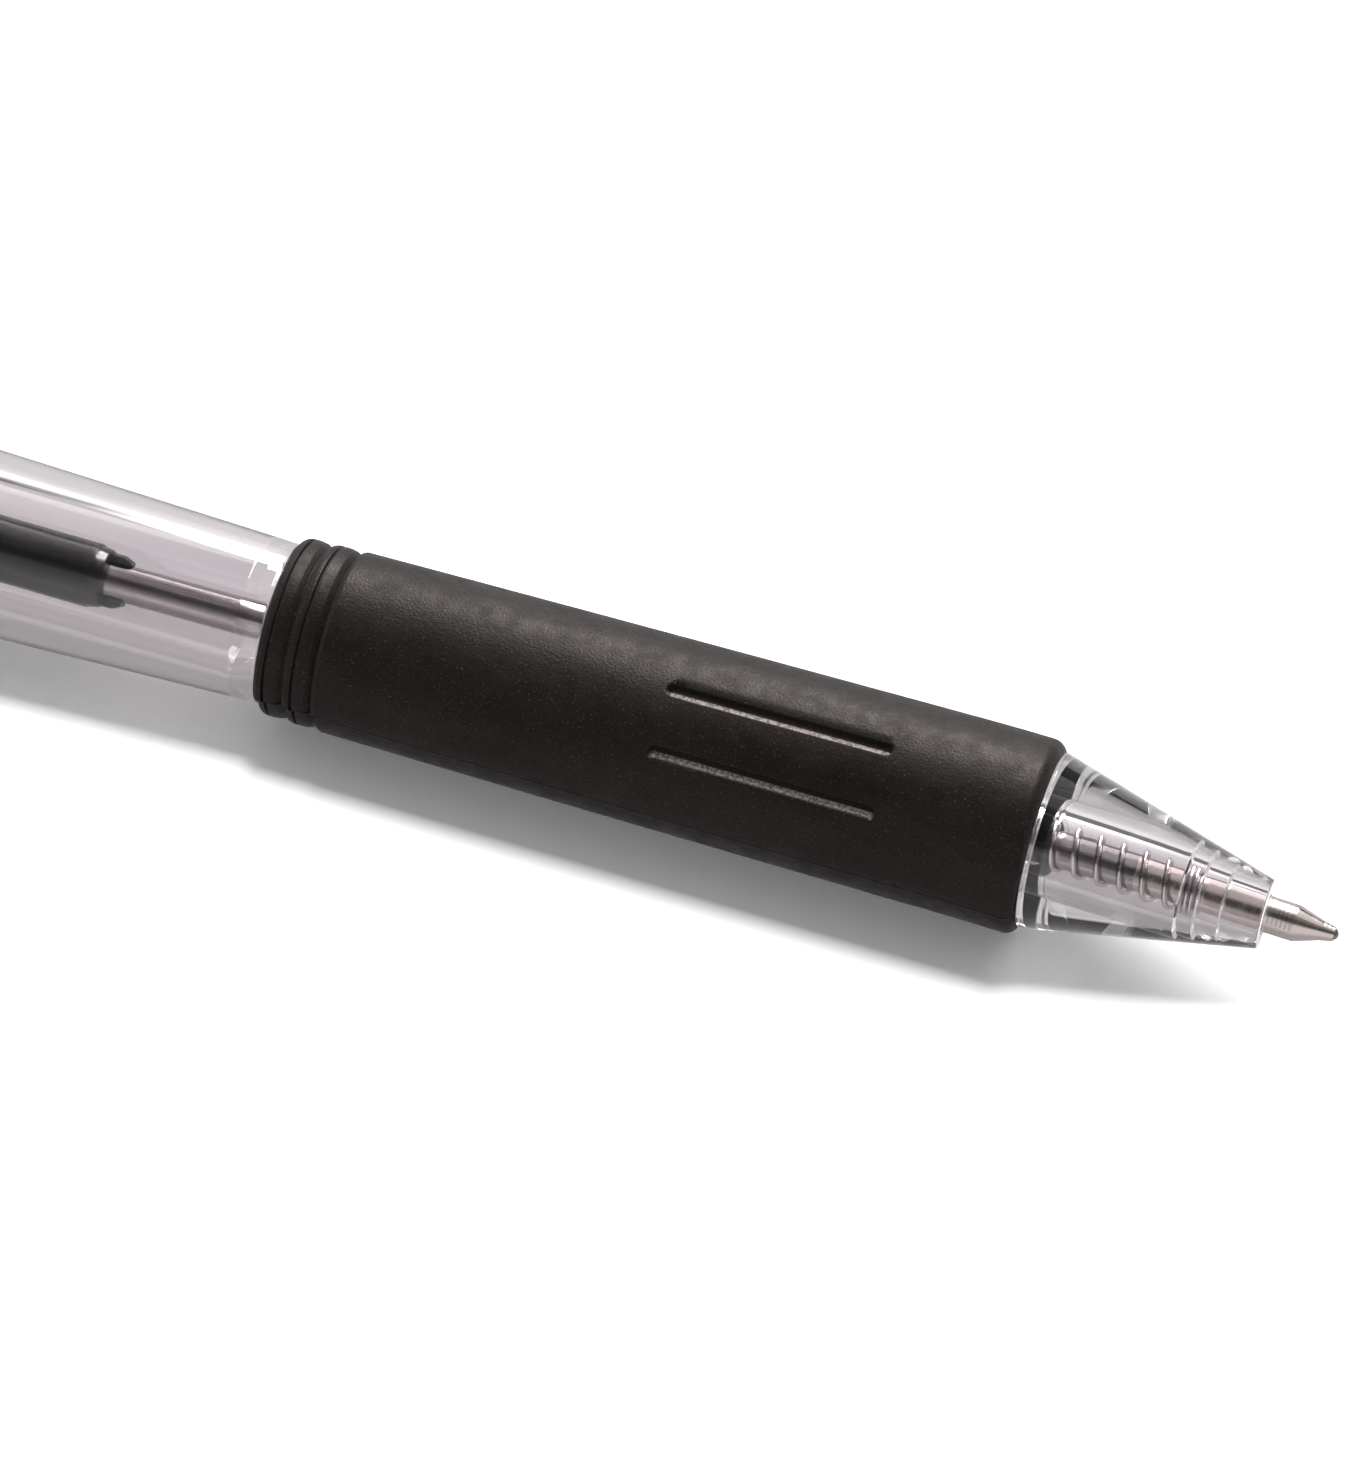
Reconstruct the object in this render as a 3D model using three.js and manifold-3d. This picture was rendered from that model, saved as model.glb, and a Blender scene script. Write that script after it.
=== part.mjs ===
// A retractable ballpoint pen, lying on a table with its point out.
// Every piece is turned or cut in the pen's own frame, then the whole pen is rolled onto its clip.
// A station is a distance in millimetres along the pen's axis, from the front of the ball towards the button.
// In the pen's own frame station s lies at X = -s, the clip stands up along +Z, and +X is the writing end.

import * as THREE from 'three';
import { mergeVertices } from 'three/addons/utils/BufferGeometryUtils.js';
import Module from 'manifold-3d';

const wasm = await Module();
wasm.setup();

// Facets and the gaps between pieces
const BODY_SIDES = 48;
const SLIM_SIDES = 24;
const SNUG_GAP = 0.05;
const RUNNING_GAP = 0.1;
const END_GAP = 0.3;

// Clear nose cone
const POINT_REACH = 4.6;
const NOSE_CONE_LENGTH = 14.0;
const NOSE_FRONT_DIAMETER = 4.36;
const NOSE_BASE_DIAMETER = 11.0;
const NOSE_EDGE = 0.15;
const RIM_WIDTH = 0.4;
const RIM_PROUD = 0.06;
const FRONT_BORE_LENGTH = 2.6;
const STEP_BORE_DIAMETER = 2.9;
const STEP_BORE_LENGTH = 1.5;
const SPRING_BORE_GAP = 0.2;
const GUIDE_TUBE_WALL = 0.65;
const GUIDE_TUBE_DRAFT = 0.22;
const GUIDE_TUBE_SETBACK = 0.6;
const POCKET_FLOOR = 1.0;
const POCKET_WIDTH_AT_FLOOR = 0.25;
const SPIGOT_LENGTH = 8.5;
const SPIGOT_WALL = 0.7;
const SPIGOT_CHAMFER = 0.3;

// Rubber grip
const GRIP_LENGTH = 49.3;
const GRIP_FRONT_DIAMETER = 12.28;
const GRIP_MIDDLE_DIAMETER = 11.94;
const GRIP_REAR_DIAMETER = 11.4;
const GRIP_FRONT_EDGE = 0.9;
const GRIP_REAR_EDGE = 0.8;
const GRIP_WALL_AT_REAR = 1.0;
const RING_GROOVE_DEPTH = 0.38;
const RING_GROOVE_WIDTH = 0.35;
const RING_PITCH = 1.95;
const RING_FIRST_FROM_END = 2.3;
const FINGER_SLOT_LENGTH = 14.4;
const FINGER_SLOT_WIDTH = 0.9;
const FINGER_SLOT_DEPTH = 0.45;
const FINGER_SLOT_FROM_FRONT = 10.35;
const FINGER_SLOT_PAIRS = 3;
const FINGER_SLOT_SPREAD = 41;
const FINGER_SLOT_FROM_CLIP = -93.5;

// Clear barrel
const BARREL_WAIST_DIAMETER = 10.26;
const BARREL_FULL_DIAMETER = 12.2;
const BARREL_TAPER_LENGTH = 31.5;
const BARREL_STRAIGHT_LENGTH = 27.2;
const BARREL_BORE_DIAMETER = 7.8;
const BARREL_CORE_BORE_DIAMETER = 6.6;
const BARREL_BORE_FLOOR = 2.2;
const BARREL_WAIST_FILLET = 0.5;
const BARREL_TAIL_DIAMETER = 10.4;
const BARREL_TAIL_LENGTH = 4.0;

// Refill
const BALL_DIAMETER = 0.8;
const BALL_GAP = 0.03;
const BALL_SHOWING = 0.26;
const POINT_CONE_LENGTH = 2.45;
const POINT_LIP_WALL = 0.05;
const POINT_SHANK_DIAMETER = 2.3;
const POINT_LENGTH = 13.1;
const POINT_TAIL_LENGTH = 3.0;
const INK_CHANNEL_DIAMETER = 0.5;
const TUBE_DIAMETER = 2.36;
const TUBE_WALL = 0.22;
const TUBE_LENGTH = 71.2;
const BEAD_DIAMETER = 3.1;
const BEAD_WIDTH = 0.8;
const FOLLOWER_LENGTH = 2.0;
const END_PLUG_LENGTH = 2.4;
const INK_HEADSPACE = 3.0;
const VENT_DIAMETER = 0.5;

// Spring
const SPRING_DIAMETER = 3.3;
const SPRING_WIRE = 0.35;
const SPRING_LENGTH = 21.2;
const SPRING_WORKING_PITCH = 1.5;
const SPRING_END_PITCH = 0.8;
const SPRING_END_COILS = 2;
const SPRING_STEPS = 8;
const SPRING_SIDES = 5;

// Push rod
const ROD_DIAMETER = 4.1;
const ROD_SOCKET_DEPTH = 6.7;
const COLLET_LENGTH = 2.0;
const COLLET_WALL = 0.4;
const COLLET_SLOT_WIDTH = 0.5;
const COLLET_SLOT_LENGTH = 3.6;
const COLLET_TURN = 42;
const COLLET_CHAMFER = 0.7;
const JOURNAL_DIAMETER = 2.0;
const JOURNAL_LENGTH = 5.2;

// Click mechanism
const TRAVEL = 5.5;
const OVERTRAVEL = 0.8;
const RIB_COUNT = 4;
const ROTOR_DIAMETER = 4.4;
const ROTOR_LENGTH = 7.0;
const ROTOR_RIB_LENGTH = 4.0;
const ROTOR_RIB_BACK = 0.8;
const RIB_WIDTH = 1.1;
const RIB_SLANT = 0.9;
const DEEP_RIB_DIAMETER = 6.2;
const SHALLOW_RIB_DIAMETER = 5.6;
const SLEEVE_BORE_DIAMETER = 5.2;
const SLEEVE_LENGTH = 12.2;
const SLEEVE_FLANGE_WIDTH = 1.0;
const SLEEVE_GROOVE_STOP = 1.6;
const TOOTH_COUNT = 8;
const TOOTH_HEIGHT = 0.7;
const PLUNGER_RIB_LENGTH = 3.0;
const PLUNGER_RIB_BACK = 1.3;
const PLUNGER_BORE_DIAMETER = 2.8;
const PLUNGER_BORE_DEPTH = 7.0;
const BUTTON_PEG_DIAMETER = 3.6;
const BUTTON_PEG_LENGTH = 4.0;
const BUTTON_DIAMETER = 6.4;
const BUTTON_LENGTH = 11.2;
const BUTTON_EDGE = 0.9;
const BUTTON_FLANGE_DIAMETER = 7.6;
const BUTTON_FLANGE_WIDTH = 1.0;
const BUTTON_FRONT_GAP = 0.5;

// Rear cap and clip
const CAP_REAR_DIAMETER = 10.0;
const CAP_EDGE = 0.8;
const CAP_MOUTH_LENGTH = 1.4;
const CLIP_RING_WIDTH = 2.0;
const CLIP_LENGTH = 36.5;
const CLIP_WIDTH = 4.2;
const CLIP_TIP_WIDTH = 3.2;
const CLIP_THICKNESS = 1.3;
const CLIP_STANDOFF = 1.9;
const CLIP_TIP_STANDOFF = 1.1;
const CLIP_PAD_LENGTH = 4.0;

// Stations worked out from the sizes above
const noseFront = POINT_REACH;
const rimFront = noseFront + NOSE_CONE_LENGTH;
const noseBase = rimFront + RIM_WIDTH;
const stepFront = noseFront + FRONT_BORE_LENGTH;
const springSeat = stepFront + STEP_BORE_LENGTH;
const pocketFloor = springSeat + POCKET_FLOOR;
const guideTubeEnd = noseBase - GUIDE_TUBE_SETBACK;
const gripRear = noseBase + GRIP_LENGTH;
const taperEnd = gripRear + BARREL_TAPER_LENGTH;
const barrelShoulder = taperEnd + BARREL_STRAIGHT_LENGTH;
const clipRingEnd = barrelShoulder + CLIP_RING_WIDTH;
const barrelEnd = barrelShoulder + BARREL_TAIL_LENGTH;
const flangeEnd = barrelEnd + SLEEVE_FLANGE_WIDTH;
const sleeveFront = barrelEnd - SLEEVE_LENGTH;
const rotorRibBack = sleeveFront - OVERTRAVEL / 2;
const rotorBack = rotorRibBack + ROTOR_RIB_BACK;
const rotorFront = rotorBack - ROTOR_LENGTH;
const rodBack = rotorFront - RUNNING_GAP;
const plungerFront = rotorBack + RUNNING_GAP;
const buttonFront = flangeEnd + OVERTRAVEL + BUTTON_FRONT_GAP;
const buttonEnd = buttonFront + BUTTON_LENGTH;
const capRoomEnd = buttonFront + BUTTON_FLANGE_WIDTH + TRAVEL + END_GAP;
const capEnd = capRoomEnd + CAP_MOUTH_LENGTH;
const tubeFront = POINT_LENGTH;
const tubeEnd = tubeFront + TUBE_LENGTH;
const colletFront = tubeEnd - ROD_SOCKET_DEPTH;
const beadFront = springSeat + SPRING_LENGTH + SPRING_WIRE / 2;

// Radii worked out from the sizes above
const noseFrontRadius = NOSE_FRONT_DIAMETER / 2;
const noseBaseRadius = NOSE_BASE_DIAMETER / 2;
const shankRadius = POINT_SHANK_DIAMETER / 2;
const tubeRadius = TUBE_DIAMETER / 2;
const tubeBoreRadius = tubeRadius - TUBE_WALL;
const springRadius = SPRING_DIAMETER / 2;
const springBoreRadius = springRadius + SPRING_BORE_GAP;
const guideTubeRadius = springBoreRadius + GUIDE_TUBE_WALL;
const barrelBoreRadius = BARREL_BORE_DIAMETER / 2;
const spigotRadius = barrelBoreRadius - SNUG_GAP;
const gripBoreRadius = GRIP_REAR_DIAMETER / 2 - GRIP_WALL_AT_REAR;
const coreRadius = gripBoreRadius - SNUG_GAP;
const barrelRadius = BARREL_FULL_DIAMETER / 2;
const tailRadius = BARREL_TAIL_DIAMETER / 2;
const journalRadius = JOURNAL_DIAMETER / 2;
const socketRadius = tubeRadius + SNUG_GAP;
const sleeveBoreRadius = SLEEVE_BORE_DIAMETER / 2;
const plungerRadius = sleeveBoreRadius - RUNNING_GAP;
const buttonRadius = BUTTON_DIAMETER / 2;
const buttonFlangeRadius = BUTTON_FLANGE_DIAMETER / 2;
const pegRadius = BUTTON_PEG_DIAMETER / 2;

// A ring or solid of revolution about the pen's axis, from points [radius, station] round its section
function turned(section, sides = BODY_SIDES) {
  const closed = section.concat([section[0]]);
  let doubleArea = 0;
  for (let i = 0; i + 1 < closed.length; i += 1) {
    doubleArea += closed[i][0] * closed[i + 1][1] - closed[i + 1][0] * closed[i][1];
  }
  const ordered = doubleArea > 0 ? closed : closed.reverse();
  const points = ordered.map(([radius, station]) => new THREE.Vector2(radius, station));
  const geometry = new THREE.LatheGeometry(points, sides);
  return geometry.rotateZ(Math.PI / 2);
}

// Points [radius, station] on a round of a section, between two angles in degrees from the radial direction
function round(radius, station, size, fromDegrees, toDegrees, steps = 4) {
  const points = [];
  for (let i = 0; i <= steps; i += 1) {
    const angle = THREE.MathUtils.degToRad(fromDegrees + ((toDegrees - fromDegrees) * i) / steps);
    points.push([radius + size * Math.cos(angle), station + size * Math.sin(angle)]);
  }
  return points;
}

// A block along the axis, between two stations and two heights above the axis
function block(fromStation, toStation, fromHeight, toHeight, width) {
  const geometry = new THREE.BoxGeometry(toStation - fromStation, width, toHeight - fromHeight);
  return geometry.translate(-(fromStation + toStation) / 2, 0, (fromHeight + toHeight) / 2);
}

function rolled(geometry, degrees) {
  return geometry.clone().rotateX(THREE.MathUtils.degToRad(degrees));
}

function toSolid(geometry) {
  const bare = geometry.clone();
  bare.deleteAttribute('normal');
  bare.deleteAttribute('uv');
  const merged = mergeVertices(bare, 1e-4);
  const kept = [];
  const index = merged.index.array;
  for (let i = 0; i < index.length; i += 3) {
    const [a, b, c] = [index[i], index[i + 1], index[i + 2]];
    if (a !== b && b !== c && c !== a) kept.push(a, b, c);
  }
  return new wasm.Manifold(new wasm.Mesh({
    numProp: 3,
    vertProperties: new Float32Array(merged.attributes.position.array),
    triVerts: new Uint32Array(kept),
  }));
}

function toGeometry(solid) {
  const mesh = solid.getMesh();
  const geometry = new THREE.BufferGeometry();
  geometry.setAttribute('position', new THREE.BufferAttribute(new Float32Array(mesh.vertProperties), 3));
  geometry.setIndex(new THREE.BufferAttribute(new Uint32Array(mesh.triVerts), 1));
  geometry.computeVertexNormals();
  return geometry;
}

function cut(geometry, cutters) {
  const left = cutters.reduce((solid, cutter) => solid.subtract(toSolid(cutter)), toSolid(geometry));
  return toGeometry(left);
}

function joined(geometries) {
  const solids = geometries.map(toSolid);
  return toGeometry(solids.reduce((whole, solid) => whole.add(solid)));
}

// The clear cone that carries the point: a thin shell with a guide tube for the spring inside,
// a solid front with a stepped bore, a raised rim against the rubber and a screwed spigot behind it
function noseCone() {
  const frontBoreRadius = shankRadius + RUNNING_GAP;
  const pocketRadius = guideTubeRadius + POCKET_WIDTH_AT_FLOOR;
  const spigotBoreRadius = spigotRadius - SPIGOT_WALL;
  return turned([
    [frontBoreRadius, noseFront],
    [noseFrontRadius - NOSE_EDGE, noseFront],
    [noseFrontRadius, noseFront + NOSE_EDGE],
    [noseBaseRadius, rimFront],
    [noseBaseRadius + RIM_PROUD, rimFront + RIM_WIDTH / 2],
    [noseBaseRadius, noseBase],
    [spigotRadius, noseBase],
    [spigotRadius, noseBase + SPIGOT_LENGTH - SPIGOT_CHAMFER],
    [spigotRadius - SPIGOT_CHAMFER, noseBase + SPIGOT_LENGTH],
    [spigotBoreRadius, noseBase + SPIGOT_LENGTH],
    [spigotBoreRadius, noseBase],
    [pocketRadius, pocketFloor],
    [guideTubeRadius, pocketFloor],
    [guideTubeRadius - GUIDE_TUBE_DRAFT, guideTubeEnd],
    [springBoreRadius, guideTubeEnd],
    [springBoreRadius, springSeat],
    [STEP_BORE_DIAMETER / 2, springSeat],
    [STEP_BORE_DIAMETER / 2, stepFront],
    [frontBoreRadius, stepFront],
  ]);
}

function gripRadiusAt(station) {
  const t = (station - noseBase) / GRIP_LENGTH;
  const front = GRIP_FRONT_DIAMETER / 2;
  const middle = GRIP_MIDDLE_DIAMETER / 2;
  const rear = GRIP_REAR_DIAMETER / 2;
  return front * (1 - t) * (1 - 2 * t) + middle * 4 * t * (1 - t) + rear * t * (2 * t - 1);
}

// One groove between two rings, with a steep wall towards the point and a sloped one behind
function ringGroove(station) {
  const top = gripRadiusAt(station);
  return [
    [top, station - RING_GROOVE_WIDTH],
    [top - RING_GROOVE_DEPTH, station],
    [top - RING_GROOVE_DEPTH, station + RING_GROOVE_WIDTH / 2],
    [top - RING_GROOVE_DEPTH / 3, station + RING_GROOVE_WIDTH],
    [top, station + 2 * RING_GROOVE_WIDTH],
  ];
}

// A slot with round ends, to be cut into the top of the grip
function fingerSlotCutter() {
  const start = noseBase + FINGER_SLOT_FROM_FRONT;
  const half = FINGER_SLOT_WIDTH / 2;
  const outline = new THREE.Shape();
  outline.absarc(-start - half, 0, half, -Math.PI / 2, Math.PI / 2, false);
  outline.absarc(-start - FINGER_SLOT_LENGTH + half, 0, half, Math.PI / 2, 1.5 * Math.PI, false);
  const depth = GRIP_FRONT_DIAMETER / 2;
  const cutter = new THREE.ExtrudeGeometry(outline, { depth, bevelEnabled: false, curveSegments: 6 });
  const floor = gripRadiusAt(start + FINGER_SLOT_LENGTH / 2) - FINGER_SLOT_DEPTH;
  return cutter.translate(0, 0, floor);
}

// The rubber sleeve: a slow taper, two ring grooves behind and pairs of finger slots round the front
function gripSleeve() {
  const bodyStart = noseBase + GRIP_FRONT_EDGE;
  const firstGroove = gripRear - RING_FIRST_FROM_END;
  const secondGroove = firstGroove - RING_PITCH;
  const bodyEnd = secondGroove - 2 * RING_GROOVE_WIDTH;
  const bodySteps = 8;
  const body = [];
  for (let i = 1; i <= bodySteps; i += 1) {
    const station = bodyStart + ((bodyEnd - bodyStart) * i) / bodySteps;
    body.push([gripRadiusAt(station), station]);
  }
  const frontRadius = gripRadiusAt(bodyStart) - GRIP_FRONT_EDGE;
  const rearRadius = gripRadiusAt(gripRear - GRIP_REAR_EDGE) - GRIP_REAR_EDGE;
  const sleeve = turned([
    [gripBoreRadius, noseBase],
    ...round(frontRadius, bodyStart, GRIP_FRONT_EDGE, -90, 0),
    ...body,
    ...ringGroove(secondGroove),
    ...ringGroove(firstGroove),
    ...round(rearRadius, gripRear - GRIP_REAR_EDGE, GRIP_REAR_EDGE, 0, 90),
    [gripBoreRadius, gripRear],
  ]);
  const slots = [];
  for (let pair = 0; pair < FINGER_SLOT_PAIRS; pair += 1) {
    const middle = FINGER_SLOT_FROM_CLIP + (360 / FINGER_SLOT_PAIRS) * pair;
    slots.push(rolled(fingerSlotCutter(), middle - FINGER_SLOT_SPREAD / 2));
    slots.push(rolled(fingerSlotCutter(), middle + FINGER_SLOT_SPREAD / 2));
  }
  return cut(sleeve, slots);
}

// The clear barrel: a slim core under the rubber, a waist behind it that widens to the full diameter,
// and a stepped tail that carries the clip, the stop sleeve and the cap
function barrelTube() {
  const waistRadius = BARREL_WAIST_DIAMETER / 2;
  const fillet = BARREL_WAIST_FILLET;
  const coreBoreRadius = BARREL_CORE_BORE_DIAMETER / 2;
  const boreFloor = gripRear + BARREL_BORE_FLOOR;
  const boreRound = barrelBoreRadius - coreBoreRadius;
  const counterboreEnd = noseBase + SPIGOT_LENGTH + END_GAP;
  return turned([
    [barrelBoreRadius, noseBase],
    [coreRadius, noseBase],
    [coreRadius, gripRear],
    ...round(waistRadius - fillet, gripRear + fillet, fillet, -90, 0, 3),
    [barrelRadius, taperEnd],
    [barrelRadius, barrelShoulder],
    [tailRadius, barrelShoulder],
    [tailRadius, barrelEnd],
    [barrelBoreRadius, barrelEnd],
    ...round(coreBoreRadius, boreFloor + boreRound, boreRound, 0, -90, 3),
    [coreBoreRadius, counterboreEnd],
    [barrelBoreRadius, counterboreEnd],
  ]);
}

function writingBall() {
  const ball = new THREE.SphereGeometry(BALL_DIAMETER / 2, 16, 12);
  return ball.translate(-BALL_DIAMETER / 2, 0, 0);
}

// The turned point: a cone with the ball's socket in front, a long shank and a tail inside the tube
function refillPoint() {
  const channel = INK_CHANNEL_DIAMETER / 2;
  const socket = BALL_DIAMETER / 2 + BALL_GAP;
  const ballMiddle = BALL_DIAMETER / 2;
  const lipAngle = THREE.MathUtils.radToDeg(Math.asin((BALL_SHOWING - ballMiddle) / socket));
  const channelAngle = THREE.MathUtils.radToDeg(Math.acos(channel / socket));
  const lip = socket * Math.cos(THREE.MathUtils.degToRad(lipAngle)) + POINT_LIP_WALL;
  const tailRadiusInTube = tubeBoreRadius - SNUG_GAP;
  return turned([
    ...round(0, ballMiddle, socket, channelAngle, lipAngle, 6),
    [lip, BALL_SHOWING],
    [shankRadius, BALL_SHOWING + POINT_CONE_LENGTH],
    [shankRadius, tubeFront],
    [tailRadiusInTube, tubeFront],
    [tailRadiusInTube, tubeFront + POINT_TAIL_LENGTH],
    [channel, tubeFront + POINT_TAIL_LENGTH],
  ], SLIM_SIDES);
}

// The refill's tube, with a rolled bead that the spring pushes against
function refillTube() {
  const beadRadius = BEAD_DIAMETER / 2;
  const beadSlope = beadRadius - tubeRadius;
  return turned([
    [tubeBoreRadius, tubeFront],
    [tubeRadius, tubeFront],
    [tubeRadius, beadFront],
    [beadRadius, beadFront],
    [beadRadius, beadFront + BEAD_WIDTH],
    [tubeRadius, beadFront + BEAD_WIDTH + beadSlope],
    [tubeRadius, tubeEnd],
    [tubeBoreRadius, tubeEnd],
  ], SLIM_SIDES);
}

function plainCylinder(radius, fromStation, toStation, sides = SLIM_SIDES) {
  return turned([[0, fromStation], [radius, fromStation], [radius, toStation], [0, toStation]], sides);
}

const fillRadius = tubeBoreRadius - SNUG_GAP;
const inkFront = tubeFront + POINT_TAIL_LENGTH + RUNNING_GAP;
const endPlugFront = tubeEnd - END_PLUG_LENGTH;
const followerEnd = endPlugFront - INK_HEADSPACE;
const inkEnd = followerEnd - FOLLOWER_LENGTH;

function inkColumn() {
  return plainCylinder(fillRadius, inkFront, inkEnd);
}

function inkFollower() {
  return plainCylinder(fillRadius, inkEnd + RUNNING_GAP, followerEnd);
}

// The plug in the refill's rear end, with its air hole
function refillEndPlug() {
  return turned([
    [VENT_DIAMETER / 2, endPlugFront],
    [fillRadius, endPlugFront],
    [fillRadius, tubeEnd],
    [VENT_DIAMETER / 2, tubeEnd],
  ], SLIM_SIDES);
}

// Height of the spring's wire, as a fraction of its coils, on its way from the nose to the bead:
// close coils at both ends and wide working coils between them
function springRise(turn, workingTurns, workingPitch) {
  const first = Math.min(turn, SPRING_END_COILS);
  const working = Math.min(Math.max(turn - SPRING_END_COILS, 0), workingTurns);
  const last = Math.max(turn - SPRING_END_COILS - workingTurns, 0);
  return (first + last) * SPRING_END_PITCH + working * workingPitch;
}

// The coil spring: one round wire wound on a helix, with both ends square to their seats
function refillSpring() {
  const wireRadius = SPRING_WIRE / 2;
  const endRun = SPRING_WIRE;
  const coilRadius = springRadius - wireRadius;
  const room = SPRING_LENGTH - SPRING_WIRE - 2 * endRun - 2 * SPRING_END_COILS * SPRING_END_PITCH;
  const workingTurns = Math.max(1, Math.round(room / SPRING_WORKING_PITCH));
  const workingPitch = room / workingTurns;
  const turns = workingTurns + 2 * SPRING_END_COILS;
  const steps = turns * SPRING_STEPS;
  const start = springSeat + wireRadius;
  const centres = [new THREE.Vector3(-start, 0, coilRadius)];
  for (let i = 0; i <= steps; i += 1) {
    const turn = i / SPRING_STEPS;
    const angle = 2 * Math.PI * turn;
    const station = start + endRun + springRise(turn, workingTurns, workingPitch);
    centres.push(new THREE.Vector3(-station, coilRadius * Math.sin(angle), coilRadius * Math.cos(angle)));
  }
  const last = centres[centres.length - 1];
  centres.push(last.clone().add(new THREE.Vector3(-endRun, 0, 0)));
  printSpringGap(centres);
  return wireAlong(centres, wireRadius);
}

// Prints the least gap between coils, measured on the wire's points half a coil or more apart
function printSpringGap(centres) {
  let least = Infinity;
  for (let i = 0; i < centres.length; i += 1) {
    for (let j = i + SPRING_STEPS / 2; j < centres.length; j += 1) {
      least = Math.min(least, centres[i].distanceTo(centres[j]) - SPRING_WIRE);
    }
  }
  console.log(`least gap between the spring's coils: ${least.toFixed(3)} mm`);
}

// A closed tube through a row of points, each ring square to the way between its neighbours
function wireAlong(centres, wireRadius) {
  const positions = [];
  const index = [];
  const last = centres.length - 1;
  centres.forEach((centre, i) => {
    const before = centres[Math.max(i - 1, 0)];
    const after = centres[Math.min(i + 1, last)];
    const straightEnd = i <= 1 || i >= last - 1;
    const way = straightEnd ? new THREE.Vector3(-1, 0, 0) : after.clone().sub(before).normalize();
    const outwards = new THREE.Vector3(0, centre.y, centre.z).normalize();
    outwards.addScaledVector(way, -outwards.dot(way)).normalize();
    const across = new THREE.Vector3().crossVectors(way, outwards);
    for (let k = 0; k < SPRING_SIDES; k += 1) {
      const angle = (2 * Math.PI * k) / SPRING_SIDES;
      const point = centre.clone();
      point.addScaledVector(outwards, wireRadius * Math.cos(angle));
      point.addScaledVector(across, wireRadius * Math.sin(angle));
      positions.push(point.x, point.y, point.z);
    }
  });
  for (let i = 0; i < last; i += 1) {
    for (let k = 0; k < SPRING_SIDES; k += 1) {
      const a = i * SPRING_SIDES + k;
      const b = i * SPRING_SIDES + ((k + 1) % SPRING_SIDES);
      index.push(a, b, b + SPRING_SIDES, a, b + SPRING_SIDES, a + SPRING_SIDES);
    }
  }
  const lastRing = last * SPRING_SIDES;
  for (let k = 1; k + 1 < SPRING_SIDES; k += 1) {
    index.push(0, k + 1, k);
    index.push(lastRing, lastRing + k, lastRing + k + 1);
  }
  const geometry = new THREE.BufferGeometry();
  geometry.setAttribute('position', new THREE.Float32BufferAttribute(positions, 3));
  geometry.setIndex(index);
  geometry.computeVertexNormals();
  return geometry;
}

// The long push rod: a split collet that grips the refill, a plain body and the rotor's journal
function pushRod() {
  const colletRadius = socketRadius + COLLET_WALL;
  const bodyRadius = ROD_DIAMETER / 2;
  const bodyFront = colletFront + COLLET_LENGTH;
  const rod = turned([
    [socketRadius, colletFront],
    [colletRadius, colletFront],
    [colletRadius, bodyFront],
    [bodyRadius, bodyFront + COLLET_CHAMFER],
    [bodyRadius, rodBack],
    [journalRadius, rodBack],
    [journalRadius, rodBack + JOURNAL_LENGTH],
    [0, rodBack + JOURNAL_LENGTH],
    [0, tubeEnd + END_GAP],
    [socketRadius, tubeEnd + END_GAP],
  ], SLIM_SIDES);
  const reach = bodyRadius + END_GAP;
  const slotEnd = colletFront + COLLET_SLOT_LENGTH;
  const slot = block(colletFront - END_GAP, slotEnd, -reach, reach, COLLET_SLOT_WIDTH);
  return cut(rod, [rolled(slot, COLLET_TURN), rolled(slot, COLLET_TURN + 90)]);
}

// A wedge that cuts one sloped tooth gap into an end face; its deep side points to the rear or to the front
function toothCutter(station, radius, pointsBack) {
  const halfAngle = Math.PI / TOOTH_COUNT;
  const halfWidth = radius * Math.tan(halfAngle);
  const height = pointsBack ? -TOOTH_HEIGHT : TOOTH_HEIGHT;
  const overshoot = pointsBack ? END_GAP : -END_GAP;
  const outline = new THREE.Shape();
  outline.moveTo(-station - overshoot, -halfWidth);
  outline.lineTo(-station - height, 0);
  outline.lineTo(-station - overshoot, halfWidth);
  outline.closePath();
  const cutter = new THREE.ExtrudeGeometry(outline, { depth: radius, bevelEnabled: false });
  return cutter.translate(0, 0, radius / 8);
}

function toothCutters(station, radius, pointsBack) {
  const cutters = [];
  for (let i = 0; i < TOOTH_COUNT; i += 1) {
    cutters.push(rolled(toothCutter(station, radius, pointsBack), ((i + 0.5) * 360) / TOOTH_COUNT));
  }
  return cutters;
}

// A rib along the axis whose rear end is slanted, as the cams of a click pen are
function slantedRib(fromStation, toStation, fromRadius, toRadius) {
  const outline = new THREE.Shape();
  outline.moveTo(-fromStation, -RIB_WIDTH / 2);
  outline.lineTo(-fromStation, RIB_WIDTH / 2);
  outline.lineTo(-toStation + RIB_SLANT, RIB_WIDTH / 2);
  outline.lineTo(-toStation, -RIB_WIDTH / 2);
  outline.closePath();
  const depth = toRadius - fromRadius;
  const rib = new THREE.ExtrudeGeometry(outline, { depth, bevelEnabled: false });
  return rib.translate(0, 0, fromRadius);
}

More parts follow.
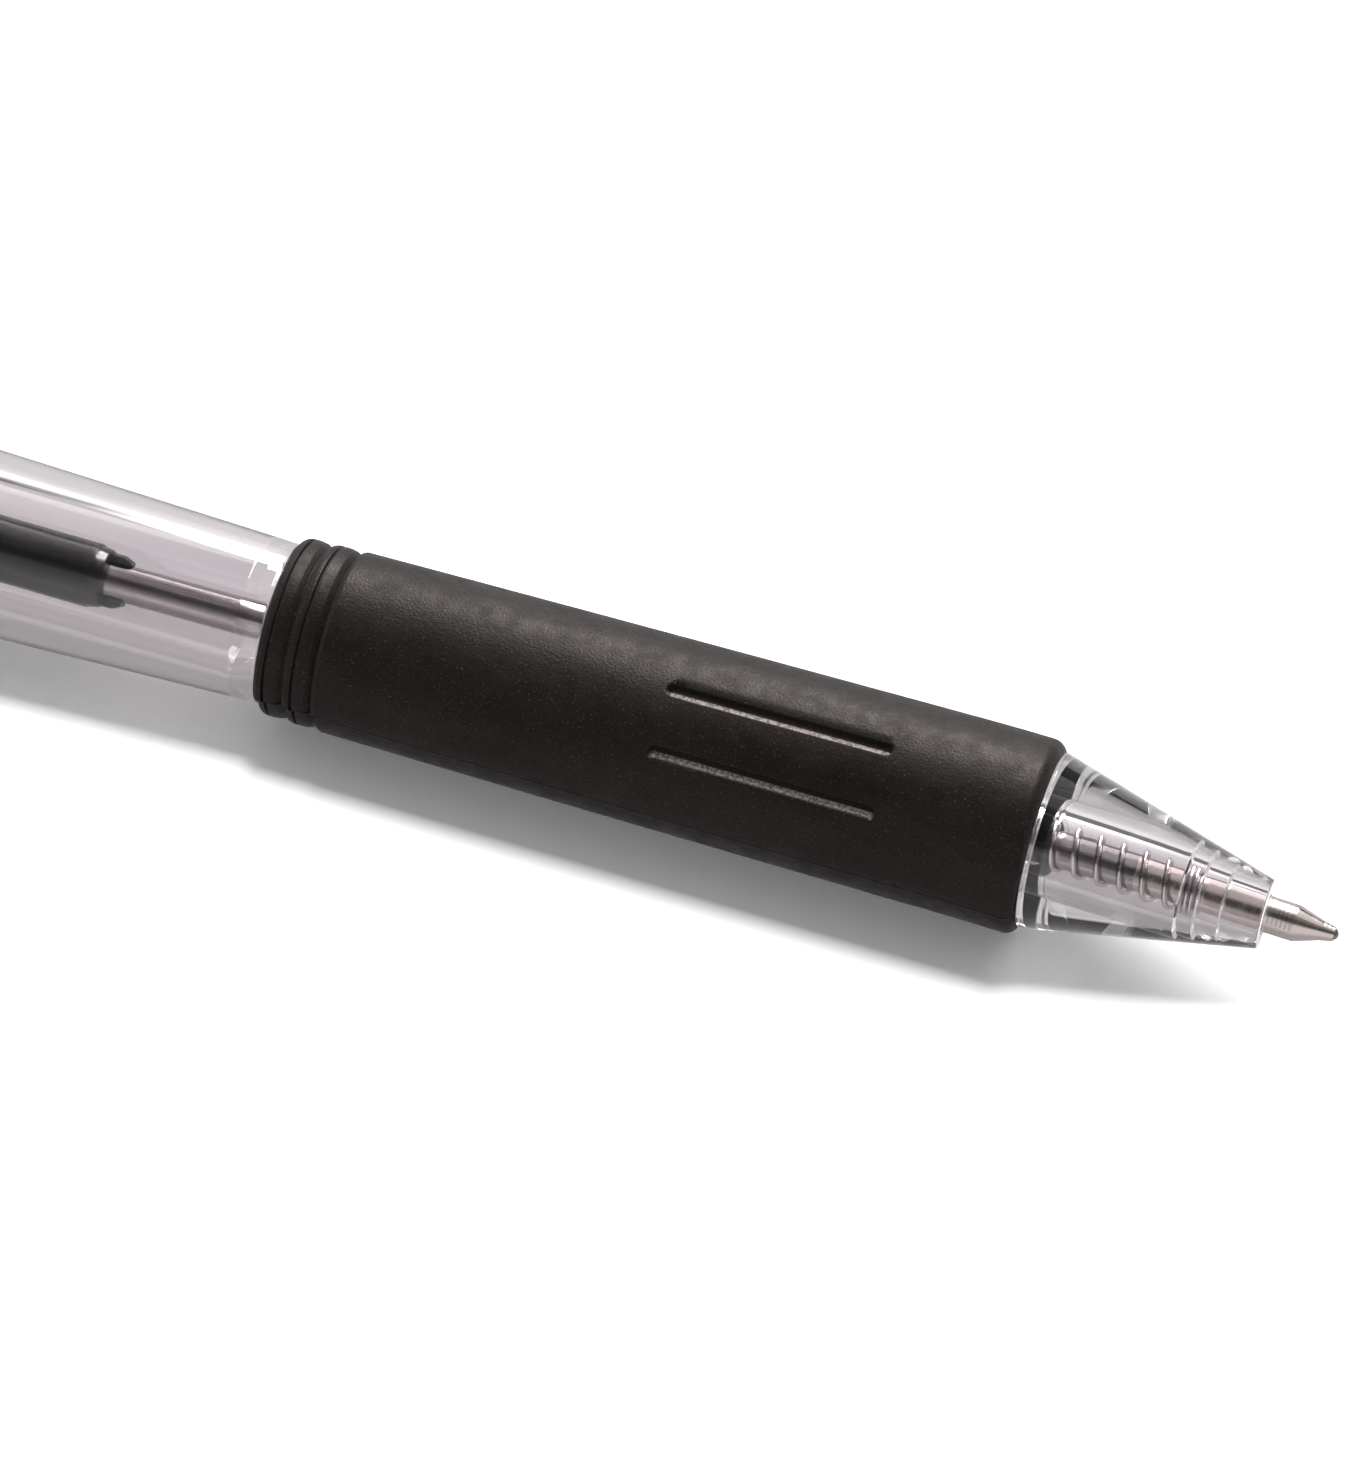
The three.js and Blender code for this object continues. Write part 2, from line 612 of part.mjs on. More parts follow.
// The rotor: it turns an eighth of a turn at each click, so that its ribs catch on the sleeve in turn
// and drop into its deep grooves
function camRotor() {
  const bodyRadius = ROTOR_DIAMETER / 2;
  const ring = turned([
    [journalRadius + RUNNING_GAP, rotorFront],
    [bodyRadius, rotorFront],
    [bodyRadius, rotorBack],
    [journalRadius + RUNNING_GAP, rotorBack],
  ], SLIM_SIDES);
  const ribs = [];
  const ribFront = rotorRibBack - ROTOR_RIB_LENGTH;
  const rib = slantedRib(ribFront, rotorRibBack, bodyRadius - END_GAP, DEEP_RIB_DIAMETER / 2);
  for (let i = 0; i < RIB_COUNT; i += 1) {
    ribs.push(rolled(rib, (i * 360) / RIB_COUNT));
  }
  return cut(joined([ring, ...ribs]), toothCutters(rotorBack, bodyRadius + END_GAP, true));
}

// The stop sleeve: deep grooves let the rotor's ribs back, and shallow ones between them
// guide only the plunger
function stopSleeve() {
  const sleeveRadius = barrelBoreRadius - SNUG_GAP;
  const tube = turned([
    [sleeveBoreRadius, sleeveFront],
    [sleeveRadius, sleeveFront],
    [sleeveRadius, barrelEnd],
    [tailRadius - SNUG_GAP, barrelEnd],
    [tailRadius - SNUG_GAP, flangeEnd],
    [sleeveBoreRadius, flangeEnd],
  ]);
  const grooveEnd = barrelEnd - SLEEVE_GROOVE_STOP;
  const grooveWidth = RIB_WIDTH + 2 * RUNNING_GAP;
  const grooveStart = sleeveFront - END_GAP;
  const inside = sleeveBoreRadius / 2;
  const deepFloor = DEEP_RIB_DIAMETER / 2 + RUNNING_GAP;
  const shallowFloor = SHALLOW_RIB_DIAMETER / 2 + RUNNING_GAP;
  const deep = block(grooveStart, grooveEnd, inside, deepFloor, grooveWidth);
  const shallow = block(grooveStart, grooveEnd, inside, shallowFloor, grooveWidth);
  const cutters = toothCutters(sleeveFront, sleeveRadius + END_GAP, false);
  for (let i = 0; i < RIB_COUNT; i += 1) {
    cutters.push(rolled(deep, (i * 360) / RIB_COUNT));
    cutters.push(rolled(shallow, ((i + 0.5) * 360) / RIB_COUNT));
  }
  return cut(tube, cutters);
}

// The plunger: a toothed crown that pushes and turns the rotor, guide ribs and the peg of the button
function camPlunger() {
  const boreRadius = PLUNGER_BORE_DIAMETER / 2;
  const stem = turned([
    [boreRadius, plungerFront],
    [plungerRadius, plungerFront],
    [plungerRadius, buttonFront],
    [pegRadius, buttonFront],
    [pegRadius, buttonFront + BUTTON_PEG_LENGTH],
    [0, buttonFront + BUTTON_PEG_LENGTH],
    [0, plungerFront + PLUNGER_BORE_DEPTH],
    [boreRadius, plungerFront + PLUNGER_BORE_DEPTH],
  ], SLIM_SIDES);
  const ribFront = plungerFront + PLUNGER_RIB_BACK;
  const ribBack = ribFront + PLUNGER_RIB_LENGTH;
  const deepRib = block(ribFront, ribBack, plungerRadius - END_GAP, DEEP_RIB_DIAMETER / 2, RIB_WIDTH);
  const shallowRib = block(ribFront, ribBack, plungerRadius - END_GAP, SHALLOW_RIB_DIAMETER / 2, RIB_WIDTH);
  const ribs = [];
  for (let i = 0; i < RIB_COUNT; i += 1) {
    ribs.push(rolled(deepRib, (i * 360) / RIB_COUNT));
    ribs.push(rolled(shallowRib, ((i + 0.5) * 360) / RIB_COUNT));
  }
  return cut(joined([stem, ...ribs]), toothCutters(plungerFront, plungerRadius + END_GAP, false));
}

// The push button: a round knob on the plunger's peg, with a flange in front that the cap's mouth holds back
// and a flat end for the thumb
function pushButton() {
  const socket = pegRadius + SNUG_GAP;
  const socketEnd = buttonFront + BUTTON_PEG_LENGTH + END_GAP;
  const flangeBack = buttonFront + BUTTON_FLANGE_WIDTH;
  return turned([
    [socket, buttonFront],
    [buttonFlangeRadius, buttonFront],
    [buttonFlangeRadius, flangeBack],
    [buttonRadius, flangeBack],
    ...round(buttonRadius - BUTTON_EDGE, buttonEnd - BUTTON_EDGE, BUTTON_EDGE, 0, 90),
    [0, buttonEnd],
    [0, socketEnd],
    [socket, socketEnd],
  ]);
}

// The cap behind the clip: it holds the clip's ring and the sleeve's flange on the barrel's tail,
// leaves room for the button's flange to travel and stops it at a narrow mouth
function rearCap() {
  const rearRadius = CAP_REAR_DIAMETER / 2;
  const boreRadius = tailRadius + SNUG_GAP;
  const mouthRadius = buttonRadius + RUNNING_GAP;
  const roomRadius = buttonFlangeRadius + RUNNING_GAP;
  return turned([
    [boreRadius, clipRingEnd],
    [barrelRadius, clipRingEnd],
    [barrelRadius, barrelEnd],
    ...round(rearRadius - CAP_EDGE, capEnd - CAP_EDGE, CAP_EDGE, 0, 90),
    [mouthRadius, capEnd],
    [mouthRadius, capRoomEnd],
    [roomRadius, capRoomEnd],
    [roomRadius, flangeEnd],
    [boreRadius, flangeEnd],
  ]);
}

// The side view of the clip's arm: it rises from the ring, runs forward and drops to a rounded pad
function clipArmOutline() {
  const base = barrelRadius - (barrelRadius - tailRadius) / 2;
  const under = barrelRadius + CLIP_STANDOFF;
  const tipUnder = barrelRadius + CLIP_TIP_STANDOFF;
  const tip = clipRingEnd - CLIP_LENGTH;
  const padTouch = barrelRadius + END_GAP;
  const outline = new THREE.Shape();
  outline.moveTo(-clipRingEnd, base);
  outline.lineTo(-clipRingEnd, under);
  outline.quadraticCurveTo(-clipRingEnd, under + CLIP_THICKNESS, -barrelShoulder, under + CLIP_THICKNESS);
  outline.lineTo(-tip - CLIP_PAD_LENGTH, tipUnder + CLIP_THICKNESS);
  outline.quadraticCurveTo(-tip, tipUnder + CLIP_THICKNESS, -tip, tipUnder);
  outline.quadraticCurveTo(-tip - CLIP_PAD_LENGTH / 4, padTouch, -tip - CLIP_PAD_LENGTH / 2, padTouch);
  outline.quadraticCurveTo(-tip - CLIP_PAD_LENGTH, padTouch, -tip - 1.5 * CLIP_PAD_LENGTH, tipUnder);
  outline.lineTo(-barrelShoulder + CLIP_STANDOFF, under);
  outline.quadraticCurveTo(-barrelShoulder, under, -barrelShoulder, barrelRadius);
  outline.lineTo(-barrelShoulder, base);
  outline.closePath();
  return outline;
}

// The clip's plan view: a long strip that narrows to a round end
function clipPlanOutline() {
  const tip = clipRingEnd - CLIP_LENGTH;
  const half = CLIP_WIDTH / 2;
  const tipHalf = CLIP_TIP_WIDTH / 2;
  const outline = new THREE.Shape();
  outline.moveTo(-clipRingEnd, -half);
  outline.lineTo(-tip - tipHalf, -tipHalf);
  outline.absarc(-tip - tipHalf, 0, tipHalf, -Math.PI / 2, Math.PI / 2, false);
  outline.lineTo(-clipRingEnd, half);
  outline.closePath();
  return outline;
}

// The pocket clip: a ring round the barrel's tail and a springy arm that lies along the barrel
function pocketClip() {
  const sideView = { depth: 2 * CLIP_WIDTH, bevelEnabled: false, curveSegments: 5 };
  const arm = new THREE.ExtrudeGeometry(clipArmOutline(), sideView);
  arm.translate(0, 0, -CLIP_WIDTH).rotateX(Math.PI / 2);
  const planView = { depth: 2 * barrelRadius, bevelEnabled: false, curveSegments: 8 };
  const plan = new THREE.ExtrudeGeometry(clipPlanOutline(), planView);
  const shapedArm = toSolid(arm).intersect(toSolid(plan));
  const ring = turned([
    [tailRadius + SNUG_GAP, barrelShoulder],
    [barrelRadius, barrelShoulder],
    [barrelRadius, clipRingEnd],
    [tailRadius + SNUG_GAP, clipRingEnd],
  ]);
  const ringBore = [barrelShoulder - END_GAP, clipRingEnd + END_GAP];
  const bore = plainCylinder(tailRadius + SNUG_GAP, ...ringBore, BODY_SIDES);
  return toGeometry(toSolid(ring).add(shapedArm).subtract(toSolid(bore)));
}

// Materials
function clearPlastic(name) {
  const clear = { opacity: 0.35, transparent: true };
  return new THREE.MeshStandardMaterial({ name, color: 0xe9e2e6, roughness: 0.05, metalness: 0, ...clear });
}

function plastic(name, color, roughness) {
  return new THREE.MeshStandardMaterial({ name, color, roughness, metalness: 0 });
}

function metal(name, color, roughness) {
  return new THREE.MeshStandardMaterial({ name, color, roughness, metalness: 1 });
}

const pieces = [
  ['nose_cone', noseCone(), clearPlastic('clear nose plastic')],
  ['grip_sleeve', gripSleeve(), plastic('black grip rubber', 0x2a2626, 0.75)],
  ['barrel', barrelTube(), clearPlastic('clear barrel plastic')],
  ['writing_ball', writingBall(), metal('carbide ball', 0x8f8a88, 0.15)],
  ['refill_point', refillPoint(), metal('nickel silver', 0xc9bcae, 0.22)],
  ['refill_tube', refillTube(), metal('plated refill tube', 0xd2d0d2, 0.12)],
  ['ink_column', inkColumn(), plastic('black ink', 0x0c0c10, 0.3)],
  ['ink_follower', inkFollower(), plastic('clear follower grease', 0xd8cfa8, 0.3)],
  ['refill_end_plug', refillEndPlug(), plastic('white plug plastic', 0xe4e2de, 0.5)],
  ['refill_spring', refillSpring(), metal('spring steel', 0xc4c2c4, 0.2)],
  ['push_rod', pushRod(), plastic('black rod plastic', 0x141314, 0.3)],
  ['cam_rotor', camRotor(), plastic('white rotor plastic', 0xe8e6e2, 0.4)],
  ['stop_sleeve', stopSleeve(), plastic('black sleeve plastic', 0x1a191a, 0.4)],
  ['cam_plunger', camPlunger(), plastic('grey plunger plastic', 0x8c8a8a, 0.4)],
  ['push_button', pushButton(), plastic('black button plastic', 0x161516, 0.25)],
  ['rear_cap', rearCap(), plastic('black cap plastic', 0x161516, 0.25)],
  ['pocket_clip', pocketClip(), plastic('black clip plastic', 0x161516, 0.25)],
];

// The pen lies with the lower edge of its clip and its thickest rounds on the table
function rollOntoClip() {
  const corner = new THREE.Vector2(CLIP_WIDTH / 2, barrelRadius + CLIP_STANDOFF + CLIP_THICKNESS);
  const belly = GRIP_FRONT_DIAMETER / 2;
  return Math.PI - Math.acos(belly / corner.length()) - Math.atan2(corner.x, corner.y);
}

const pen = new THREE.Group();
pen.rotation.x = rollOntoClip();
for (const [name, geometry, material] of pieces) {
  const mesh = new THREE.Mesh(geometry, material);
  mesh.name = name;
  pen.add(mesh);
}

// The origin is under the middle of the pen, on the table
const model = new THREE.Group();
model.add(pen);
model.updateMatrixWorld(true);
const bounds = new THREE.Box3().setFromObject(pen, true);
const middle = bounds.getCenter(new THREE.Vector3());
pen.position.set(-middle.x, -middle.y, -bounds.min.z);

export default model;
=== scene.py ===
"""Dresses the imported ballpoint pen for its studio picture, in clear plastic, black rubber and metal."""

import bisect
import math

import bmesh
import bpy
from bpy.props import FloatProperty, FloatVectorProperty, IntProperty, PointerProperty
from mathutils import Matrix, Vector


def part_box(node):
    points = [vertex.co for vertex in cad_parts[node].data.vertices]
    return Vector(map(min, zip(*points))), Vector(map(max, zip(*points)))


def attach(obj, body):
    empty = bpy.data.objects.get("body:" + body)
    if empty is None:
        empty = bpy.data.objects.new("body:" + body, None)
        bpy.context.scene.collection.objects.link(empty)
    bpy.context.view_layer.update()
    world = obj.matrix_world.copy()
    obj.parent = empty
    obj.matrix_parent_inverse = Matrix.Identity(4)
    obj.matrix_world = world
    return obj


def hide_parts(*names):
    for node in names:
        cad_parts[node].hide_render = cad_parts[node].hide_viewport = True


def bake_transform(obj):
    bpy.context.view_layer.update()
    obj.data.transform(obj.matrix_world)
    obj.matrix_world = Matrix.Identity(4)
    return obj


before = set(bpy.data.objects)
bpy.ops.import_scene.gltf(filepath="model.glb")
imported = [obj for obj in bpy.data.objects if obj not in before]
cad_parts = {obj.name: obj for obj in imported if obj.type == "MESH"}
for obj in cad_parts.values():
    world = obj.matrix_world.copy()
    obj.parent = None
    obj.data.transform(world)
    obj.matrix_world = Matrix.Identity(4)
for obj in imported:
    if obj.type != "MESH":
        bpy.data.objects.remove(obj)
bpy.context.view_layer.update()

bl_info = {
    "name": "Ballpoint Pen",
    "version": (1, 0, 0),
    "blender": (4, 5, 0),
    "location": "View3D > Sidebar > Pen",
    "description": "Builds the finished pieces of a retractable ballpoint pen round its packed solids",
    "category": "Object",
}

MM = 0.001

# The pen's own measures: its axis runs along X through the ball's middle, and a station is a distance in
# millimetres behind the front of the ball. Angles round the axis are in degrees from straight up, towards
# the camera's side.
BALL_LOW, BALL_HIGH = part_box("writing_ball")
POINT_X = BALL_HIGH.x
AXIS_Y = (BALL_LOW.y + BALL_HIGH.y) / 2
AXIS_Z = (BALL_LOW.z + BALL_HIGH.z) / 2


def station_of(x):
    """The station of a place along X."""
    return (POINT_X - x) / MM


def stations(node):
    """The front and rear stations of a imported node."""
    low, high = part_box(node)
    return station_of(high.x), station_of(low.x)


NOSE_FRONT, NOSE_END = stations("nose_cone")
GRIP_FRONT, GRIP_END = stations("grip_sleeve")
BARREL_FRONT, BARREL_END = stations("barrel")
TUBE_FRONT, TUBE_END = stations("refill_tube")
SPRING_FRONT, SPRING_END = stations("refill_spring")
ROD_FRONT, ROD_END = stations("push_rod")
RING_END = stations("pocket_clip")[1]
CAP_END = stations("rear_cap")[1]
BUTTON_FRONT, BUTTON_END = stations("push_button")

# The pen's nose is screwed on a little crooked, and bends the refill with it: how far the pen's middle is off
# its axis at each station, in millimetres, and the angle that it leans to
CROOK = [(0.0, 0.80), (3.0, 0.79), (4.6, 0.77), (7.0, 0.70), (10.0, 0.58), (14.0, 0.36), (19.0, 0.08),
         (21.0, 0.02), (23.0, 0.0)]
CROOK_ANGLE = 123.0
CROOK_SMOOTHING = (-1.5, -0.75, 0.0, 0.75, 1.5)

# How far the refill and the push rod hang below the barrel's axis, by station, both in millimetres
SAG = [(40, 0.0), (68, 0.24), (95, 0.24), (114, 0.0)]


def between(table, place):
    """The value of a table of (place, value) at a place, taken in straight lines."""
    places = [row[0] for row in table]
    i = min(max(bisect.bisect_right(places, place), 1), len(table) - 1)
    (a, low), (b, high) = table[i - 1], table[i]
    t = min(max((place - a) / (b - a), 0.0), 1.0)
    return low + (high - low) * t


def crook(station):
    """The crook at a station, with the table's corners smoothed."""
    return sum(between(CROOK, station + step) for step in CROOK_SMOOTHING) / len(CROOK_SMOOTHING)


def point_at(station, radius=0.0, angle=0.0, sag=0.0):
    """A point in metres, from a station, a radius and a sag in millimetres and an angle in degrees."""
    turn = math.radians(angle)
    lean = math.radians(CROOK_ANGLE)
    off = crook(station) + sag
    y = AXIS_Y - (radius * math.sin(turn) + off * math.sin(lean)) * MM
    z = AXIS_Z + (radius * math.cos(turn) + off * math.cos(lean)) * MM
    return Vector((POINT_X - station * MM, y, z))


def linear(hex_colour, alpha=1.0):
    """An sRGB hex colour as linear red, green, blue and alpha."""
    parts = [int(hex_colour[i:i + 2], 16) / 255 for i in (1, 3, 5)]
    return tuple(p / 12.92 if p <= 0.04045 else ((p + 0.055) / 1.055) ** 2.4 for p in parts) + (alpha,)


# Sizes and colours that a user would change

class PenSizes(bpy.types.PropertyGroup):
    """Sizes of the pen's finished pieces."""

    edge_round: FloatProperty(name="Edge Round", description="Round on the moulded edges",
                              default=0.06 * MM, min=0.01 * MM, max=0.3 * MM, unit="LENGTH")
    slot_depth: FloatProperty(name="Slot Depth", description="Depth of the finger slots in the rubber",
                              default=0.5 * MM, min=0.0, max=0.8 * MM, unit="LENGTH")
    slot_width: FloatProperty(name="Slot Width", description="Width of the finger slots",
                              default=0.9 * MM, min=0.3 * MM, max=2.0 * MM, unit="LENGTH")
    mould_step: FloatProperty(name="Mould Step", description="How far the rubber's mould halves are offset",
                              default=0.2 * MM, min=0.0, max=0.5 * MM, unit="LENGTH")
    spring_pitch: FloatProperty(name="Spring Pitch", description="Distance between the spring's open coils",
                                default=1.47 * MM, min=0.8 * MM, max=3.0 * MM, unit="LENGTH")
    spring_wire: FloatProperty(name="Spring Wire", description="Thickness of the spring's wire",
                               default=0.33 * MM, min=0.2 * MM, max=0.5 * MM, unit="LENGTH")
    spring_end_coils: IntProperty(name="End Coils", description="Close coils at each end of the spring",
                                  default=3, min=1, max=5)


class PenColours(bpy.types.PropertyGroup):
    """Colours of the pen's finishes."""

    clear: FloatVectorProperty(name="Clear Plastic", description="Tint of the clear nose and barrel",
                               subtype="COLOR", size=4, min=0, max=1, default=linear("#faf6f8"))
    rubber: FloatVectorProperty(name="Rubber", description="Colour of the grip's rubber",
                                subtype="COLOR", size=4, min=0, max=1, default=linear("#060505"))
    bloom: FloatVectorProperty(name="Rubber Bloom", description="Colour of the bloom on the rubber",
                               subtype="COLOR", size=4, min=0, max=1, default=linear("#151312"))
    black: FloatVectorProperty(name="Black Plastic", description="Colour of the black moulded pieces",
                               subtype="COLOR", size=4, min=0, max=1, default=linear("#131212"))
    tube: FloatVectorProperty(name="Refill Tube", description="Colour of the plated refill tube",
                              subtype="COLOR", size=4, min=0, max=1, default=linear("#a39d9c"))
    point: FloatVectorProperty(name="Refill Point", description="Colour of the nickel silver point",
                               subtype="COLOR", size=4, min=0, max=1, default=linear("#c8bdb9"))


class StudioSettings(bpy.types.PropertyGroup):
    """The camera's place and its lens."""

    azimuth: FloatProperty(name="Azimuth", description="Camera's turn round the pen, towards its point",
                           default=math.radians(18.3), subtype="ANGLE")
    elevation: FloatProperty(name="Elevation", description="Camera's height above the table",
                             default=math.radians(58.3), subtype="ANGLE")
    distance: FloatProperty(name="Distance", description="From the camera to the point that it looks at",
                            default=0.5373, min=0.1, max=3.0, unit="LENGTH")
    lens: FloatProperty(name="Lens", description="Focal length on a 36 mm wide sensor",
                        default=233.3, min=35, max=400)
    look_at: FloatProperty(name="Look At", description="How far behind the ball's front the camera looks",
                           default=42.6 * MM, unit="LENGTH")


# Meshes

SIDES = 160
SMALL_SIDES = 96
SHARP_EDGE = math.radians(35)


def as_object(name, mesh_data, body, replaced, material, sharp=SHARP_EDGE):
    """Links a bmesh as a piece that rides on a body, if one is given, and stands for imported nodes."""
    bmesh.ops.recalc_face_normals(mesh_data, faces=mesh_data.faces)
    mesh = bpy.data.meshes.new(name)
    mesh_data.to_mesh(mesh)
    mesh_data.free()
    mesh.shade_smooth()
    mesh.set_sharp_from_angle(angle=sharp)
    mesh.materials.append(material)
    piece = bpy.data.objects.new(name, mesh)
    bpy.context.scene.collection.objects.link(piece)
    if body:
        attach(piece, body)
    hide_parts(*replaced)
    return piece


def rounded(section, fillet, steps=3):
    """A section with a round at each corner, of the fillet or the corner's own third number.

    A point beside each round keeps the faces next to it flat.
    """
    out = []
    count = len(section)
    for i, corner in enumerate(section):
        here = Vector(corner[:2])
        size = corner[2] if len(corner) > 2 else fillet
        before, after = Vector(section[i - 1][:2]), Vector(section[(i + 1) % count][:2])
        to_before, to_after = before - here, after - here
        on_axis = here.x == 0
        straight = abs(to_before.normalized().cross(to_after.normalized())) < 0.02
        if on_axis or straight or size == 0:
            out.append((here.x, here.y))
            continue
        half = to_before.angle(to_after) / 2
        reach = min(size / math.tan(half), 0.4 * to_before.length, 0.4 * to_after.length)
        start = here + to_before.normalized() * reach
        end = here + to_after.normalized() * reach
        beside = 0.15 * reach
        out.append(tuple(start + to_before.normalized() * beside))
        for k in range(steps + 1):
            t = k / steps
            weight = 2 * (1 - t) * t
            on_curve = start * (1 - t) ** 2 + here * weight + end * t ** 2
            out.append(tuple(on_curve))
        out.append(tuple(end + to_after.normalized() * beside))
    return out


def lathe(section, sides=SIDES):
    """A bmesh turned about the pen's axis from a section of points (radius, station).

    A section that starts on the axis ends on it too, and one that starts off the axis closes on itself.
    """
    made = bmesh.new()
    rings = []
    for radius, station in section:
        if radius == 0:
            rings.append([made.verts.new(point_at(station))])
        else:
            turns = [360 * k / sides for k in range(sides)]
            rings.append([made.verts.new(point_at(station, radius, turn)) for turn in turns])
    pairs = list(zip(rings, rings[1:]))
    if section[0][0] != 0:
        pairs.append((rings[-1], rings[0]))
    for one, other in pairs:
        if len(one) == 1 and len(other) == 1:
            continue
        for k in range(sides):
            n = (k + 1) % sides
            corners = [one[k % len(one)], one[n % len(one)], other[n % len(other)], other[k % len(other)]]
            made.faces.new(list(dict.fromkeys(corners)))
    return made


def softened(name, node, body, material, width=0.08, segments=2, loose=False):
    """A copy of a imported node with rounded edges, which then stands for it, and sags if it lies loose."""
    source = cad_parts[node]
    made = bmesh.new()
    made.from_mesh(source.data)
    bmesh.ops.remove_doubles(made, verts=made.verts, dist=0.002 * MM)
    bmesh.ops.dissolve_limit(made, angle_limit=math.radians(1.0), verts=made.verts, edges=made.edges)
    crisp = [e for e in made.edges if len(e.link_faces) == 2 and e.calc_face_angle(0) > math.radians(30)]
    bmesh.ops.bevel(made, geom=crisp, offset=width * MM, segments=segments, profile=0.5,
                    affect="EDGES", clamp_overlap=True)
    return as_object(name, let_sag(made) if loose else made, body, [node], material)


def let_sag(made):
    """Lowers what lies loose in the barrel's bore by the play that it has there."""
    for vertex in made.verts:
        vertex.co += point_at(0, sag=between(SAG, station_of(vertex.co.x))) - point_at(0)
    return made


# Materials

def add_node(tree, kind, settings=None, links=None):
    """Adds a node of a kind, sets its properties and sockets and links its inputs."""
    node = tree.nodes.new(kind)
    for key, value in (settings or {}).items():
        if isinstance(key, str) and hasattr(node, key):
            setattr(node, key, value)
        else:
            node.inputs[key].default_value = value
    for key, socket in (links or {}).items():
        tree.links.new(socket, node.inputs[key])
    return node


def start_material(name, settings):
    """A material with its shader set, and a place in millimetres to hang patterns on."""
    material = bpy.data.materials.new(name)
    material.use_nodes = True
    tree = material.node_tree
    shader = tree.nodes["Principled BSDF"]
    for key, value in settings.items():
        shader.inputs[key].default_value = value
    place = add_node(tree, "ShaderNodeTexCoord")
    scaled = add_node(tree, "ShaderNodeVectorMath", {"operation": "SCALE", "Scale": 1 / MM},
                      {0: place.outputs["Object"]})
    return material, tree, shader, scaled.outputs["Vector"]


def mottle(tree, place, size, detail=2.0, stretch=(1, 1, 1)):
    """A noise whose blotches are size millimetres wide, stretched along X, Y or Z."""
    placed = add_node(tree, "ShaderNodeMapping", {"Scale": tuple(1 / s for s in stretch)}, {"Vector": place})
    noise = add_node(tree, "ShaderNodeTexNoise", {"Scale": 1 / size, "Detail": detail},
                     {"Vector": placed.outputs["Vector"]})
    return noise.outputs["Fac"]


def spread(tree, value, low, high, at=(0.35, 0.65)):
    """Takes values in the range at, by default a noise's middle range, to the range from low to high."""
    node = add_node(tree, "ShaderNodeMapRange", {"From Min": at[0], "From Max": at[1],
                                                 "To Min": low, "To Max": high}, {"Value": value})
    return node.outputs["Result"]


def press_in(tree, shader, height, depth, strength=1.0):
    """Bumps the surface by a height pattern that is depth millimetres deep."""
    bump = add_node(tree, "ShaderNodeBump", {"Strength": strength, "Distance": depth * MM},
                    {"Height": height})
    tree.links.new(bump.outputs["Normal"], shader.inputs["Normal"])


def clear_moulded_polycarbonate(colours, haze=0.05):
    """Clear polycarbonate moulded in a polished tool: sharp refraction, faint flow ripples and hairlines.

    A haze from handling pales the dark edges that the clear plastic would have.
    """
    material, tree, shader, place = start_material("clear_moulded_polycarbonate", {
        "Base Color": colours.clear, "Transmission Weight": 1.0, "IOR": 1.585,
        "Sheen Weight": haze, "Sheen Roughness": 0.3})
    hairlines = mottle(tree, place, 0.25, 3.0, (14, 1, 1))
    tree.links.new(spread(tree, hairlines, 0.0, 0.05, (0.45, 0.8)), shader.inputs["Roughness"])
    ripples = mottle(tree, place, 3.5, 1.0, (3, 1, 1))
    press_in(tree, shader, ripples, 0.02, 0.25)
    return material


def black_moulded_rubber(colours):
    """Black rubber from a spark-eroded mould: fine grain, a dull sheen, a grey bloom, specks of dust, and
    dust with a painted light in the slots.

    The grain of such a mould is about 0.05 mm wide, and is drawn coarser to show.
    """
    material, tree, shader, place = start_material("black_moulded_rubber", {
        "IOR": 1.52, "Specular IOR Level": 0.17, "Specular Tint": linear("#ffeee6"), "Sheen Weight": 0.03,
        "Sheen Roughness": 0.45, "Sheen Tint": linear("#f2dfd6")})
    bloom = spread(tree, mottle(tree, place, 4.0, 5.0, (2, 1, 1)), 0.0, 0.55)
    tint = add_node(tree, "ShaderNodeMix", {"data_type": "RGBA", 6: colours.rubber, 7: colours.bloom},
                    {0: bloom})
    grain = mottle(tree, place, 0.17, 2.0)
    specks = spread(tree, mottle(tree, place, 0.1, 1.0), 0.0, 0.14, (0.66, 0.76))
    # The slots' pale band is dust with a painted light on each slot's lower, upward-facing wall.
    slot_band = add_node(tree, "ShaderNodeAttribute", {"attribute_name": "dust_and_painted_light"})
    patchy = add_node(tree, "ShaderNodeMath", {"operation": "MULTIPLY"},
                      {0: slot_band.outputs["Fac"], 1: spread(tree, grain, 0.35, 1.0, (0.4, 0.58))})
    dust_and_painted_light = add_node(tree, "ShaderNodeMath", {"operation": "ADD", "use_clamp": True},
                    {0: patchy.outputs[0], 1: specks})
    dusty_and_painted_light = add_node(tree, "ShaderNodeMix", {"data_type": "RGBA", 7: linear("#8f8684")},
                     {0: dust_and_painted_light.outputs[0], 6: tint.outputs[2]})
    tree.links.new(dusty_and_painted_light.outputs[2], shader.inputs["Base Color"])
    tree.links.new(spread(tree, mottle(tree, place, 1.2, 4.0), 0.42, 0.56), shader.inputs["Roughness"])
    press_in(tree, shader, grain, 0.03, 1.0)
    return material


def black_moulded_abs(colours):
    """Black ABS from a polished mould: a deep gloss with faint sink and fine wear."""
    material, tree, shader, place = start_material("black_moulded_abs", {
        "Base Color": colours.black, "IOR": 1.53})
    wear = mottle(tree, place, 0.6, 4.0, (6, 1, 1))
    tree.links.new(spread(tree, wear, 0.12, 0.26), shader.inputs["Roughness"])
    press_in(tree, shader, mottle(tree, place, 2.5, 2.0), 0.01, 0.3)
    return material


